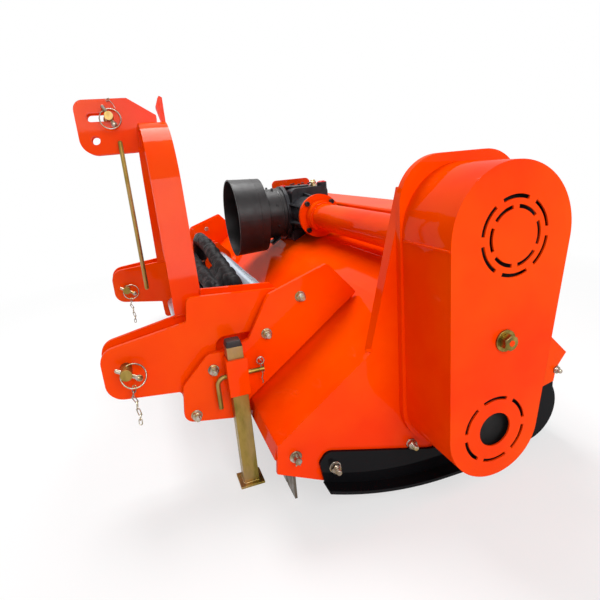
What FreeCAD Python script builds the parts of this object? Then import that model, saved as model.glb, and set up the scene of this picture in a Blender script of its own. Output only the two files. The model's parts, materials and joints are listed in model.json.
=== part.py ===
"""Side-shift tractor mulcher, as a parametric FreeCAD document, in millimetres.

Layout axes: X to the driver's left, where the belt drive is; Y to the rear, 0 at the lower
link pins; Z up from the ground. The finished frame has its origin on the ground under the
middle of the machine's outer box, so every placement subtracts that middle.
"""
import FreeCAD, Part
import math
import os
import Sketcher

V = FreeCAD.Vector

SIZES = {
    # housing
    "half_width": 1050, "side_thick": 10, "deck_thick": 8,
    "lip_low_y": 284, "lip_low_z": 188, "lip_top_y": 291, "lip_top_z": 227,
    "slope_top_y": 633, "slope_top_z": 474, "top_front_y": 752, "top_z": 530,
    "top_rear_y": 850, "tip_y": 1111, "tip_z": 271, "tip_back_y": 1080, "tip_back_z": 231,
    "side_low_z": 105, "side_low_y": 393, "side_front_z": 158, "side_back_y": 905,
    "side_heel_y": 962, "side_heel_z": 170, "side_rear_y": 1074, "side_rear_z": 194,
    "gusset_foot_y": 526, "gusset_top_y": 621, "gusset_top_z": 752, "gusset_wide": 24,
    "gusset_foot_wide": 14, "gusset_thick": 8, "gusset_end_y": 880,
    # box beam on the hood
    "beam_front_y": 850, "beam_rear_y": 1018, "beam_top_z": 648, "beam_wall": 8,
    "beam_edge": 4, "beam_shoulder": 60,
    # belt case and its cover
    "drive_y": 744, "drive_z": 612, "case_thick": 17, "case_front_y": 599,
    "case_rear_y": 906, "case_top_z": 815, "case_front_r": 100, "case_rear_r": 94,
    "case_lower_r": 122, "case_rear_z": 600, "case_bend_r": 150, "case_bore_r": 34,
    "bore_gap": 12, "cover_upper_z": 655, "cover_upper_r": 140, "cover_lower_r": 112,
    "cover_depth": 163, "cover_wall": 4, "vent_outer_r": 75, "vent_inner_r": 56,
    "vent_slot": 7.5, "vent_low_r": 72.5, "vent_shift_y": 3.5, "vent_count": 6,
    "vent_sweep": 46, "vent_turn_outer": 8, "vent_turn_inner": -22, "shaft_hole_r": 38.5,
    "stud_z": 448, "stud_y": 734, "washer_r": 22, "washer_thick": 4, "stud_r": 6.5,
    "stud_len": 16,
    # rotor
    "rotor_y": 719, "rotor_z": 249, "rotor_tube_r": 84, "rotor_wall": 10,
    "rotor_disc": 40, "rotor_tip_r": 205, "shaft_r": 30, "shaft_inset": 40, "rotor_gap": 15,
    "lug_thick": 10, "lug_wide": 56, "lug_top_r": 122, "lug_gap": 34, "shank_thick": 20,
    "head_thick": 34, "head_wide": 96, "head_low_r": 158, "hammer_rows": 4,
    "hammers_in_row": 10, "hammer_twist": 18, "bearing_r": 90, "bearing_thick": 55,
    "bearing_flange": 18, "bearing_boss_r": 63, "bearing_inset": 5, "running_gap": 0.05,
    # gearbox line
    "gear_half_x": 90, "gear_front_y": 690, "gear_rear_y": 848, "gear_low_z": 540,
    "gear_high_z": 712, "gear_edge": 24, "gear_neck_r": 66, "gear_ring_r": 109.7,
    "gear_ring_y": 665, "gear_ring_thick": 14, "gear_throat_r": 76, "gear_band": 8,
    "gear_band_high": 18, "gear_rib": 9, "gear_rib_high": 14, "gear_rib_count": 6,
    "gear_cap_r": 60, "gear_lid_r": 52, "gear_lid_high": 6,
    "flange_x": 249, "flange_r": 81, "flange_thick": 12, "tube_r": 48, "tube_wall": 8,
    "collar_r": 57, "collar_len": 45, "guard_z": 613.5, "guard_front_y": 453,
    "guard_step_y": 577, "guard_big_r": 154, "guard_rear_r": 148, "guard_neck_r": 101,
    "guard_wall": 5, "input_r": 17.5, "input_front_y": 560, "input_seat_r": 20,
    "input_boss_r": 40, "input_boss_len": 35, "input_step": 2, "input_bore": 70,
    "input_rest": 3, "mount_plate_x": 110, "mount_plate_thick": 12,
    "mount_plate_front_y": 672, "mount_plate_rear_y": 846, "mount_plate_top_z": 741,
    "mount_plate_round": 20,
    # slide plates and bars
    "end_x": 810, "end_thick": 12, "bar_r": 25, "bar_upper_y": 402, "bar_upper_z": 443,
    "bar_lower_y": 175, "bar_lower_z": 276, "bush_r": 34, "base_rear_y": 606,
    # hitch
    "hitch_x": 305, "pin_z": 373, "link_spread": 870, "clevis_gap": 52, "link_thick": 12,
    "pin_r": 14, "pin_out": 50, "pin_in": 12, "pin_head": 8, "pin_head_out": 6,
    "mast_height": 618, "mast_back": 62, "top_gap": 58, "top_thick": 12, "top_pin_r": 12.5,
    "top_pin_out": 28, "top_pin_in": 10, "top_seat_wide": 59, "top_foot_high": 73,
    "spare_r": 12.5, "spare_y": -48, "spare_z": -64, "slot_len": 50, "foot_round": 10, "window_front_y": 222, "window_rear_y": 340, "window_low_z": 345,
    "window_high_z": 405, "window_round": 26, "arch_front_y": 137, "arch_wide": 74.5,
    "arch_thick": 16, "arch_foot_z": 462, "arch_over": 1.6, "arch_lean": 0.2,
    "arch_drop": 31, "arch_bend_r": 232, "cross_y": 215, "cross_z": 300, "cross_size": 60,
    "cross_wall": 6, "hook_r": 6.5, "hook_y": 80, "hook_drop": 76, "hook_low_z": 468,
    "hook_side": 18, "hook_toe": 40, "hook_inner": 6, "hose_lug_half": 20,
    # side-shift cylinder and the hoses looped over it
    "cyl_y": 262, "cyl_z": 405, "barrel_r": 34, "barrel_end": 30, "barrel_head_r": 40,
    "barrel_head": 60, "rod_r": 16, "rod_inside": 90, "rod_gap": 5,
    "rear_hose_r": 29, "rear_hose_y": 312, "rear_hose_top_z": 552, "rear_hose_bend": 72,
    "rear_hose_inset": 42, "rear_hose_fall": 380, "rear_hose_drop": 42,
    "rear_hose_end_bend": 60, "rear_port_high": 44, "front_hose_r": 28, "front_hose_top_z": 489,
    "front_hose_bend": 44, "front_hose_inset": 84, "port_r": 16,
    # parking legs
    "leg_size": 40, "leg_wall": 4, "sleeve_wall": 6, "leg_gap": 0.5, "leg_y": 258,
    "leg_top_z": 398, "sleeve_low_z": 268, "sleeve_high_z": 366, "leg_pin_z": 316,
    "leg_pin_r": 6, "leg_pin_slack": 1, "leg_pin_out": 24, "leg_pin_drop": 84,
    "leg_pin_bend": 20, "leg_pin_tip": 46,
    "foot_size": 65, "foot_thick": 6,
    # skids
    "skid_thick": 8, "skid_wide": 45, "skid_low_z": 40, "skid_flat_y": 700,
    "skid_rear_y": 905, "skid_bend_r": 826, "skid_sweep": 22, "skid_nose_y": 383,
    "skid_nose_z": 159, "skid_brow_y": 402, "skid_brow_z": 184, "skid_round": 22,
    "skid_waist_y": 680, "skid_waist_z": 107, "skid_rear_z": 112,
    # rear roller
    "roller_y": 1018, "roller_z": 104, "roller_r": 104, "roller_wall": 8,
    "roller_disc": 12, "roller_gap": 12, "arm_thick": 10, "axle_r": 22, "arm_rear": 66,
    "arm_front": 58, "arm_low": 62, "arm_round": 54, "arm_high": 132, "arm_neck": 20,
    "axle_inset": 1,
    # front flaps
    "flap_y": 330, "flap_z": 190, "flap_rod_r": 8, "flap_rod_out": 22, "flap_pitch": 64,
    "flap_wide": 58, "flap_thick": 6, "flap_low_z": 55, "flap_count": 32,
}

# Corners of the cut plates: distance back, distance up and rounding, from the point named.
CORNERS = {
    "link": {  # from the lower link pin
        "crest": (167, 149, 14), "top_rear": (400, 135, 12), "bar_rear": (450, 84, 30),
        "bar_low": (440, 20, 30), "waist": (312, -37, 40), "low_rear": (232, -150, 14),
    },
    "link_left": {  # from the left lower link pin
        "heel": (-56, -78, 45), "brow": (-56, 50, 40), "step": (158, 87, 8),
        "low_front": (126, -150, 14), "sole": (119, -96, 10),
    },
    "link_right": {  # from the right lower link pin
        "heel": (-50, -52, 42), "brow": (-50, 75, 44), "step": (158, 97, 8),
        "low_front": (133, -150, 14), "sole": (131, -80, 8),
    },
    "top": {  # from the top link pin
        "chin": (-93, -106, 46), "brow": (-93, 49, 28), "crown": (57, 49, 10),
        "slope": (135, -3, 6),
    },
    "lug": {  # from the arch's upper rear edge
        "heel": (0, -38, 1), "waist": (0, 12, 12), "bulge": (-10, 56, 16),
        "crown": (2, 86, 4), "tip": (12, 80, 3), "back": (12, -38, 1),
    },
    "end": {  # from the lower bar
        "toe": (-62, -70, 26), "sole": (63, -91, 6), "instep": (88, -85, 10),
        "heel_low": (117, -43, 8), "heel": (438, 193, 6), "crown": (359, 284, 13),
        "neck": (192, 228, 24), "notch": (128, 120, 8), "seat": (59, 100, 8),
        "shoulder": (20, 101, 20), "brow": (-51, 29, 14),
    },
    "base": {  # from the lower bar
        "toe": (-54, -63, 20), "sole": (63, -83, 6), "crown": (354, 275, 10),
        "neck": (198, 221, 20), "notch": (133, 112, 8), "shoulder": (26, 92, 16),
        "brow": (-44, 26, 10), "rod_lug": (26, 158, 24),
    },
}

for plate, corners in CORNERS.items():
    for corner, places in corners.items():
        for axis, place in zip("yzr", places):
            SIZES[f"{plate}_{corner}_{axis}"] = place


class Size:
    """A number from the sheet, together with the expression that yields it."""

    def __init__(self, value, text):
        self.value = float(value)
        self.text = text

    def __add__(self, other):
        return Size(self.value + num(other), f"({self.text} + {txt(other)})")

    def __sub__(self, other):
        return Size(self.value - num(other), f"({self.text} - {txt(other)})")

    def __mul__(self, other):
        return Size(self.value * num(other), f"({self.text} * {txt(other)})")

    def __truediv__(self, other):
        return Size(self.value / num(other), f"({self.text} / {txt(other)})")

    def __neg__(self):
        return Size(-self.value, f"(-1 * {self.text})")

    __radd__ = __add__
    __rmul__ = __mul__

    def __rsub__(self, other):
        return Size(num(other) - self.value, f"({txt(other)} - {self.text})")


def num(value):
    """The plain number of a Size or a number."""
    return value.value if isinstance(value, Size) else float(value)


def txt(value):
    """The expression of a Size or a number."""
    return value.text if isinstance(value, Size) else repr(float(value))


class Sizes:
    """Gives each cell of the sheet as an attribute."""

    def __getattr__(self, name):
        return Size(SIZES[name], f"dims.{name}")


D = Sizes()
doc = FreeCAD.newDocument("mulcher")


def make_sheet():
    """Writes the driving dimensions, one named cell each."""
    sheet = doc.addObject("Spreadsheet::Sheet", "dims")
    for row, (name, value) in enumerate(SIZES.items(), start=1):
        sheet.set(f"A{row}", name)
        sheet.set(f"B{row}", str(value))
        sheet.setAlias(f"B{row}", name)
    doc.recompute()


make_sheet()
SUB_PARTS = []

# Faces and heights that follow from the sizes.
INNER_X = D.half_width - D.side_thick
COVER_X = D.half_width + D.case_thick
FACE_X = COVER_X + D.cover_depth
MAST_Z = D.pin_z + D.mast_height
ARCH_TOP_Z = MAST_Z - D.arch_drop
ARCH_REAR_Y = D.arch_front_y + D.arch_wide
HOOK_TOP_Z = MAST_Z - D.hook_drop
SLEEVE_SIZE = D.leg_size + (D.leg_gap + D.sleeve_wall) * 2
LEG_X = D.end_x + D.leg_gap + D.leg_size / 2
BARREL_RIGHT_X = D.hitch_x - D.link_spread / 2 + D.clevis_gap / 2 + D.link_thick
BARREL_LEN = D.link_spread - D.clevis_gap - D.link_thick * 2

# Middle of the machine's outer box, in layout axes.
LEFT_X = FACE_X + D.washer_thick + D.stud_len
RIGHT_X = -(D.half_width + D.bearing_thick)
FRONT_Y = D.link_left_heel_y
REAR_Y = D.roller_y + D.roller_r
MID_X = (LEFT_X + RIGHT_X) / 2
MID_Y = (FRONT_Y + REAR_Y) / 2


def bind(obj, path, value):
    """Binds a property to the sheet."""
    obj.setExpression(path, txt(value))


def sub_part(obj, label, at_x=0, at_y=0, at_z=0):
    """Names a sub-part and places its own frame in the machine."""
    obj.Label = label
    bind(obj, "Placement.Base.x", at_x - MID_X)
    bind(obj, "Placement.Base.y", at_y - MID_Y)
    bind(obj, "Placement.Base.z", at_z + Size(0, "0"))
    SUB_PARTS.append(obj)
    return obj


def corner(plate, name, from_y, from_z):
    """A plate's corner as (y, z, rounding), from the point its distances are given from."""
    back, high, rounding = (getattr(D, f"{plate}_{name}_{axis}") for axis in "yzr")
    return (from_y + back, from_z + high, rounding)


def sides():
    """Left and right, with the sign of X."""
    return (("left", 1), ("right", -1))


def slope_z(y, low, high):
    """Height at a place on the straight line through two (y, z) points."""
    rise = (high[1] - low[1]) / (high[0] - low[0])
    return low[1] + rise * (y - low[0])


def front_slope_z(y):
    """Height of the hood's long front slope."""
    return slope_z(y, (D.lip_top_y, D.lip_top_z), (D.slope_top_y, D.slope_top_z))


def upper_slope_z(y):
    """Height of the hood's short slope under the gearbox."""
    return slope_z(y, (D.slope_top_y, D.slope_top_z), (D.top_front_y, D.top_z))


def rear_slope_z(y):
    """Height of the hood's rear slope."""
    return slope_z(y, (D.top_rear_y, D.top_z), (D.tip_y, D.tip_z))


# ---------------------------------------------------------------- sketches


def new_sketch(body, name, role, lift=0, side=0, up=0):
    """A sketch on one of the body's origin planes, moved along its normal and its axes."""
    sketch = body.newObject("Sketcher::SketchObject", name)
    plane = [item for item in body.Origin.OriginFeatures if item.Role == role][0]
    sketch.AttachmentSupport = [(plane, "")]
    sketch.MapMode = "FlatFace"
    bind(sketch, "AttachmentOffset.Base.x", side)
    bind(sketch, "AttachmentOffset.Base.y", up)
    bind(sketch, "AttachmentOffset.Base.z", lift)
    return sketch


def fix_point(sketch, geo, pos, x, y):
    """Holds a point at a distance from the sketch's origin."""
    for kind, value in (("DistanceX", x), ("DistanceY", y)):
        index = sketch.addConstraint(Sketcher.Constraint(kind, -1, 1, geo, pos, num(value)))
        bind(sketch, f"Constraints[{index}]", value)


def hold_radius(sketch, geo, radius):
    """Binds an arc's or circle's radius."""
    index = sketch.addConstraint(Sketcher.Constraint("Radius", geo, num(radius)))
    bind(sketch, f"Constraints[{index}]", radius)


def corner_arc(before, at, after, radius):
    """Rounding of one corner: its two tangent points, its arc and whether it turns left."""
    arrive = (before - at).normalize()
    leave = (after - at).normalize()
    half = math.acos(max(-1, min(1, arrive.dot(leave)))) / 2
    start = at + arrive * (radius / math.tan(half))
    end = at + leave * (radius / math.tan(half))
    centre = at + (arrive + leave).normalize() * (radius / math.sin(half))
    left_turn = arrive.cross(leave).z < 0
    first, last = (start, end) if left_turn else (end, start)
    angles = [math.atan2(point.y - centre.y, point.x - centre.x) for point in (first, last)]
    return start, end, Part.ArcOfCircle(Part.Circle(centre, V(0, 0, 1), radius), *angles), left_turn


def outline(sketch, points):
    """A closed outline. Each point is (x, y) or (x, y, rounding), bound to its sizes."""
    count = len(points)
    spots = [V(num(point[0]), num(point[1]), 0) for point in points]
    radii = [point[2] if len(point) > 2 else 0 for point in points]
    starts, ends, arcs = [], [], []
    for index, spot in enumerate(spots):
        start = end = spot
        arc = left_turn = None
        if num(radii[index]) > 0:
            start, end, arc, left_turn = corner_arc(spots[index - 1], spot,
                                                    spots[(index + 1) % count], num(radii[index]))
        starts.append(start)
        ends.append(end)
        arcs.append((arc, left_turn))
    lines = [sketch.addGeometry(Part.LineSegment(ends[index], starts[(index + 1) % count]))
             for index in range(count)]
    for index, (arc, left_turn) in enumerate(arcs):
        arriving, leaving = lines[index - 1], lines[index]
        x, y = points[index][:2]
        if arc is None:
            sketch.addConstraint(Sketcher.Constraint("Coincident", arriving, 2, leaving, 1))
            fix_point(sketch, leaving, 1, x, y)
            continue
        bend = sketch.addGeometry(arc)
        near, far = (1, 2) if left_turn else (2, 1)
        sketch.addConstraint(Sketcher.Constraint("Tangent", arriving, 2, bend, near))
        sketch.addConstraint(Sketcher.Constraint("Tangent", bend, far, leaving, 1))
        hold_radius(sketch, bend, radii[index])
        peak = sketch.addGeometry(Part.Point(spots[index]), True)
        fix_point(sketch, peak, 1, x, y)
        sketch.addConstraint(Sketcher.Constraint("PointOnObject", peak, 1, arriving))
        sketch.addConstraint(Sketcher.Constraint("PointOnObject", peak, 1, leaving))
    return sketch


def circle(sketch, x, y, radius):
    """A full circle with its centre and radius bound."""
    shape = Part.Circle(V(num(x), num(y), 0), V(0, 0, 1), num(radius))
    index = sketch.addGeometry(shape)
    fix_point(sketch, index, 3, x, y)
    hold_radius(sketch, index, radius)
    return sketch


def rectangle(sketch, x0, y0, x1, y1, rounding=0):
    corners = [(x0, y0), (x1, y0), (x1, y1), (x0, y1)]
    return outline(sketch, [(x, y, rounding) for x, y in corners])


def stadium(sketch, top, low):
    """Two arcs joined by their outer tangents: top and low are (x, y, radius)."""
    centres = [V(num(x), num(y), 0) for x, y, radius in (top, low)]
    top_r, low_r = num(top[2]), num(low[2])
    span = centres[0] - centres[1]
    axis = math.atan2(span.y, span.x)
    open_angle = math.acos((low_r - top_r) / span.Length)
    right, left = axis - open_angle, axis + open_angle

    def on(centre, radius, angle):
        return centre + V(math.cos(angle), math.sin(angle), 0) * radius

    def arc(centre, radius, start, end):
        return sketch.addGeometry(Part.ArcOfCircle(Part.Circle(centre, V(0, 0, 1), radius), start, end))

    def line(start, end):
        return sketch.addGeometry(Part.LineSegment(start, end))

    upper = arc(centres[0], top_r, right, left)
    left_side = line(on(centres[0], top_r, left), on(centres[1], low_r, left))
    lower = arc(centres[1], low_r, left, right + 2 * math.pi)
    right_side = line(on(centres[1], low_r, right), on(centres[0], top_r, right))
    ring = [(upper, 2, left_side, 1), (left_side, 2, lower, 1),
            (lower, 2, right_side, 1), (right_side, 2, upper, 1)]
    for one, end, two, start in ring:
        sketch.addConstraint(Sketcher.Constraint("Tangent", one, end, two, start))
    for geo, (x, y, radius) in ((upper, top), (lower, low)):
        fix_point(sketch, geo, 3, x, y)
        hold_radius(sketch, geo, radius)
    return sketch


def arc_slot(sketch, radius, width, start, sweep):
    """A slot along a circle about the sketch's origin, from start over sweep, in degrees."""
    inner, outer = radius - width / 2, radius + width / 2
    turns = [math.radians(num(start)), math.radians(num(start) + num(sweep))]

    def at(size, angle):
        return V(num(size) * math.cos(angle), num(size) * math.sin(angle), 0)

    arcs = []
    for size in (inner, outer):
        base = Part.Circle(V(0, 0, 0), V(0, 0, 1), num(size))
        arcs.append(sketch.addGeometry(Part.ArcOfCircle(base, *turns)))
    ends = [sketch.addGeometry(Part.LineSegment(at(inner, turn), at(outer, turn))) for turn in turns]
    for end, side in ((1, ends[0]), (2, ends[1])):
        sketch.addConstraint(Sketcher.Constraint("Coincident", arcs[0], end, side, 1))
        sketch.addConstraint(Sketcher.Constraint("Coincident", arcs[1], end, side, 2))
        sketch.addConstraint(Sketcher.Constraint("PointOnObject", -1, 1, side))
    for geo, size in zip(arcs, (inner, outer)):
        sketch.addConstraint(Sketcher.Constraint("Coincident", geo, 3, -1, 1))
        hold_radius(sketch, geo, size)
    return sketch


# ---------------------------------------------------------------- features


def body(name):
    return doc.addObject("PartDesign::Body", name)


def pad(owner, sketch, length, reverse=False):
    feature = owner.newObject("PartDesign::Pad", sketch.Name + "_pad")
    feature.Profile = sketch
    bind(feature, "Length", length)
    feature.Reversed = reverse
    sketch.Visibility = False
    return feature


def pocket(owner, sketch, length, reverse=False):
    """Cuts a sketch out of its body and checks that it does cut."""
    doc.recompute()
    before = owner.Shape.Volume
    feature = owner.newObject("PartDesign::Pocket", sketch.Name + "_cut")
    feature.Profile = sketch
    bind(feature, "Length", length)
    feature.Reversed = reverse
    doc.recompute()
    if owner.Shape.Volume >= before:
        raise RuntimeError(f"{sketch.Name} cuts nothing")
    return feature


def repeat_round(owner, feature, sketch, axis, count):
    """Repeats a feature about one of its sketch's axes."""
    pattern = owner.newObject("PartDesign::PolarPattern", feature.Name + "_round")
    pattern.Originals = [feature]
    pattern.Axis = (sketch, [axis])
    pattern.Angle = 360
    bind(pattern, "Occurrences", count)
    owner.Tip = pattern
    return pattern


def place(item, x, y, z):
    """Binds the place of a Part primitive inside its sub-part."""
    for key, value in (("x", x), ("y", y), ("z", z)):
        bind(item, f"Placement.Base.{key}", value)
    return item


def cylinder(name, radius, length, axis, x=0, y=0, z=0):
    """A Part cylinder along an axis, from its base centre."""
    item = doc.addObject("Part::Cylinder", name)
    turns = {"z": (V(0, 0, 1), 0), "x": (V(0, 1, 0), 90), "y": (V(1, 0, 0), -90)}
    item.Placement = FreeCAD.Placement(V(0, 0, 0), FreeCAD.Rotation(*turns[axis]))
    bind(item, "Radius", radius)
    bind(item, "Height", length)
    return place(item, x, y, z)


def ball(name, radius, x=0, y=0, z=0):
    item = doc.addObject("Part::Sphere", name)
    bind(item, "Radius", radius)
    return place(item, x, y, z)


def bend(name, radius, bend_r, turn, x, y, z, facing=0):
    """A quarter of an upright ring: first turned about Y from the quarter up and to the left,
    then about Z by the angle it faces."""
    item = doc.addObject("Part::Torus", name)
    upright = FreeCAD.Rotation(V(1, 0, 0), 90)
    turned = FreeCAD.Rotation(V(0, 0, 1), facing) * FreeCAD.Rotation(V(0, 1, 0), turn) * upright
    item.Placement = FreeCAD.Placement(V(0, 0, 0), turned)
    item.Angle3 = 90
    bind(item, "Radius1", bend_r)
    bind(item, "Radius2", radius)
    return place(item, x, y, z)


def box(name, size, low):
    """A Part box from its lowest corner."""
    item = doc.addObject("Part::Box", name)
    for key, value in zip(("Length", "Width", "Height"), size):
        bind(item, key, value)
    return place(item, *low)


def fuse(name, items):
    item = doc.addObject("Part::MultiFuse", name)
    item.Shapes = items
    item.Refine = True
    return item


def cut(name, base, tool):
    item = doc.addObject("Part::Cut", name)
    item.Base = base
    item.Tool = tool
    return item


def group(name, items):
    """Like pieces that don't touch, kept as one sub-part."""
    item = doc.addObject("Part::Compound", name)
    item.Links = items
    return item


# ---------------------------------------------------------------- housing


def make_deck():
    """Folded hood: front lip, two slopes, flat top and rear slope."""
    item = body("deck")
    sketch = new_sketch(item, "deck_section", "YZ_Plane")
    skin = D.deck_thick
    outline(sketch, [
        (D.lip_low_y, D.lip_low_z), (D.lip_top_y, D.lip_top_z, skin),
        (D.slope_top_y, D.slope_top_z, skin * 3), (D.top_front_y, D.top_z, skin * 3),
        (D.top_rear_y, D.top_z, skin), (D.tip_y, D.tip_z, skin / 2),
        (D.tip_back_y, D.tip_back_z), (D.tip_back_y - skin, D.tip_back_z + skin * 0.8),
        (D.tip_y - skin * 1.5, D.tip_z), (D.top_rear_y - skin * 0.4, D.top_z - skin),
        (D.top_front_y + skin * 0.2, D.top_z - skin, skin * 2),
        (D.slope_top_y + skin * 0.5, D.slope_top_z - skin, skin * 2),
        (D.lip_top_y + skin, D.lip_top_z - skin * 0.6), (D.lip_low_y + skin, D.lip_low_z)])
    pad(item, sketch, INNER_X * 2)
    return sub_part(item, "deck", at_x=-INNER_X)


def side_points(side):
    """The side plate's outline; the left one rises behind the belt case."""
    rear = D.beam_rear_y + D.beam_edge
    points = [(D.lip_low_y, D.side_front_z), (D.lip_top_y, D.lip_top_z)]
    if side == "left":
        points += [(D.gusset_foot_y, front_slope_z(D.gusset_foot_y)),
                   (D.gusset_top_y, D.gusset_top_z), (D.gusset_end_y, D.gusset_top_z),
                   (rear - D.beam_shoulder, D.beam_top_z + D.beam_edge)]
    else:
        points += [(D.slope_top_y, D.slope_top_z), (D.top_front_y, D.top_z),
                   (D.beam_front_y - D.beam_edge, D.top_z),
                   (D.beam_front_y - D.beam_edge, D.beam_top_z + D.beam_edge)]
    points += [(rear, D.beam_top_z + D.beam_edge), (rear, rear_slope_z(rear)),
               (D.tip_y, D.tip_z), (D.tip_back_y, D.tip_back_z), (D.side_rear_y, D.side_rear_z),
               (D.side_heel_y, D.side_heel_z), (D.side_back_y, D.side_low_z),
               (D.side_low_y, D.side_low_z)]
    return points


def make_side_plate(side):
    """End plate of the housing; the left one's upper front edge has an inward flange."""
    item = body(f"side_plate_{side}")
    sketch = new_sketch(item, f"side_outline_{side}", "YZ_Plane")
    outline(sketch, side_points(side))
    circle(sketch, D.rotor_y, D.rotor_z, D.shaft_r + D.bore_gap)
    circle(sketch, D.flap_y, D.flap_z, D.flap_rod_r + D.running_gap)
    pad(item, sketch, D.side_thick)
    if side == "right":
        return sub_part(item, "side_plate_right", at_x=-D.half_width)
    back = D.gusset_thick
    flange = new_sketch(item, "side_flange", "YZ_Plane")
    outline(flange, [(D.gusset_foot_y, front_slope_z(D.gusset_foot_y)),
                     (D.gusset_top_y, D.gusset_top_z), (D.gusset_top_y + back, D.gusset_top_z),
                     (D.gusset_foot_y + back, front_slope_z(D.gusset_foot_y + back))])
    pad(item, flange, D.gusset_wide, reverse=True)
    taper = new_sketch(item, "side_taper", "XZ_Plane")
    outline(taper, [(-D.gusset_wide, D.slope_top_z / 2), (-D.gusset_foot_wide, D.slope_top_z / 2),
                    (-D.gusset_wide, D.gusset_top_z)])
    pocket(item, taper, D.gusset_end_y)
    return sub_part(item, "side_plate_left", at_x=INNER_X)


def make_beam():
    """Box beam that stiffens the back of the hood."""
    item = body("rear_beam")
    sketch = new_sketch(item, "beam_section", "YZ_Plane")
    slope_foot_z = rear_slope_z(D.beam_rear_y)
    wall = D.beam_wall
    outline(sketch, [(D.beam_front_y, D.top_z), (D.beam_front_y, D.beam_top_z, wall),
                     (D.beam_rear_y, D.beam_top_z, wall), (D.beam_rear_y, slope_foot_z)])
    outline(sketch, [(D.beam_front_y + wall, D.top_z + wall * 0.4),
                     (D.beam_front_y + wall, D.beam_top_z - wall),
                     (D.beam_rear_y - wall, D.beam_top_z - wall),
                     (D.beam_rear_y - wall, slope_foot_z + wall * 2.4)])
    pad(item, sketch, INNER_X * 2)
    return sub_part(item, "rear_beam", at_x=-INNER_X)


def make_belt_case():
    """Back plate of the belt case, bolted outside the left side plate."""
    item = body("belt_case_base")
    sketch = new_sketch(item, "case_outline", "YZ_Plane")
    low = D.rotor_z - D.case_lower_r
    outline(sketch, [(D.case_front_y, D.case_top_z, D.case_front_r),
                     (D.case_rear_y, D.case_top_z, D.case_rear_r),
                     (D.case_rear_y, D.case_rear_z, D.case_bend_r),
                     (D.rotor_y + D.case_lower_r, low, D.case_lower_r * 0.98),
                     (D.rotor_y - D.case_lower_r, low, D.case_lower_r * 0.98)])
    circle(sketch, D.rotor_y, D.rotor_z, D.shaft_r + D.bore_gap)
    circle(sketch, D.drive_y, D.drive_z, D.case_bore_r)
    pad(item, sketch, D.case_thick)
    return sub_part(item, "belt_case_base", at_x=D.half_width)


def make_cover():
    """Belt cover: a wrapped rim with a flat face, vent slots in rings and the shaft's hole."""
    item = body("belt_cover")
    wall = D.cover_wall
    face = D.cover_depth - wall
    for name, skin in (("cover_outline", 0), ("cover_hollow", wall)):
        sketch = new_sketch(item, name, "YZ_Plane")
        stadium(sketch, (D.drive_y, D.cover_upper_z, D.cover_upper_r - skin),
                (D.rotor_y, D.rotor_z, D.cover_lower_r - skin))
        if name == "cover_outline":
            pad(item, sketch, D.cover_depth)
        else:
            pocket(item, sketch, face, reverse=True)
    hole = new_sketch(item, "cover_hole", "YZ_Plane", lift=face)
    circle(hole, D.rotor_y, D.rotor_z, D.shaft_hole_r)
    pocket(item, hole, wall, reverse=True)
    upper_y = D.drive_y + D.vent_shift_y
    rings = (("vent_outer", upper_y, D.cover_upper_z, D.vent_outer_r, D.vent_turn_outer),
             ("vent_inner", upper_y, D.cover_upper_z, D.vent_inner_r, D.vent_turn_inner),
             ("vent_low", D.rotor_y, D.rotor_z, D.vent_low_r, D.vent_turn_outer))
    for name, y, z, radius, start in rings:
        ring = new_sketch(item, name, "YZ_Plane", lift=face, side=y, up=z)
        arc_slot(ring, radius, D.vent_slot, start, D.vent_sweep)
        slot = pocket(item, ring, wall, reverse=True)
        repeat_round(item, slot, ring, "N_Axis", D.vent_count)
    washer = new_sketch(item, "cover_washer", "YZ_Plane", lift=D.cover_depth)
    circle(washer, D.stud_y, D.stud_z, D.washer_r)
    pad(item, washer, D.washer_thick)
    stud = new_sketch(item, "cover_stud", "YZ_Plane", lift=D.cover_depth + D.washer_thick)
    circle(stud, D.stud_y, D.stud_z, D.stud_r)
    pad(item, stud, D.stud_len)
    return sub_part(item, "belt_cover", at_x=COVER_X)


def make_bearing():
    """Flanged rotor bearing on the right side plate."""
    item = body("bearing_right")
    for name, radius, length in (("bearing_flange", D.bearing_r, D.bearing_flange),
                                 ("bearing_boss", D.bearing_boss_r, D.bearing_thick)):
        sketch = new_sketch(item, name, "YZ_Plane")
        circle(sketch, 0, 0, radius)
        circle(sketch, 0, 0, D.shaft_r + D.running_gap)
        pad(item, sketch, length, reverse=True)
    return sub_part(item, "bearing_right", at_x=-D.half_width, at_y=D.rotor_y, at_z=D.rotor_z)


# ---------------------------------------------------------------- drive line


def make_pedestal():
    """Block on the hood under the gearbox, with the gearbox's upright side plate."""
    item = body("gearbox_pedestal")
    sketch = new_sketch(item, "pedestal_section", "YZ_Plane")
    outline(sketch, [(D.gear_front_y, upper_slope_z(D.gear_front_y)), (D.gear_front_y, D.gear_low_z),
                     (D.gear_rear_y, D.gear_low_z), (D.gear_rear_y, D.top_z),
                     (D.top_front_y, D.top_z)])
    pad(item, sketch, D.gear_half_x + D.mount_plate_x)
    upright = new_sketch(item, "pedestal_upright", "YZ_Plane")
    outline(upright, [(D.mount_plate_front_y, upper_slope_z(D.mount_plate_front_y)),
                      (D.mount_plate_front_y, D.mount_plate_top_z, D.mount_plate_round),
                      (D.mount_plate_rear_y, D.mount_plate_top_z, D.mount_plate_round),
                      (D.mount_plate_rear_y, D.top_z), (D.top_front_y, D.top_z)])
    pad(item, upright, D.mount_plate_thick, reverse=True)
    return sub_part(item, "gearbox_pedestal", at_x=-D.mount_plate_x)


def add_round(item, name, role, lift, x, z, radius, length, reverse=False):
    """Adds a round boss to a body."""
    sketch = new_sketch(item, name, role, lift=lift)
    circle(sketch, x, z, radius)
    return pad(item, sketch, length, reverse=reverse)


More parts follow.
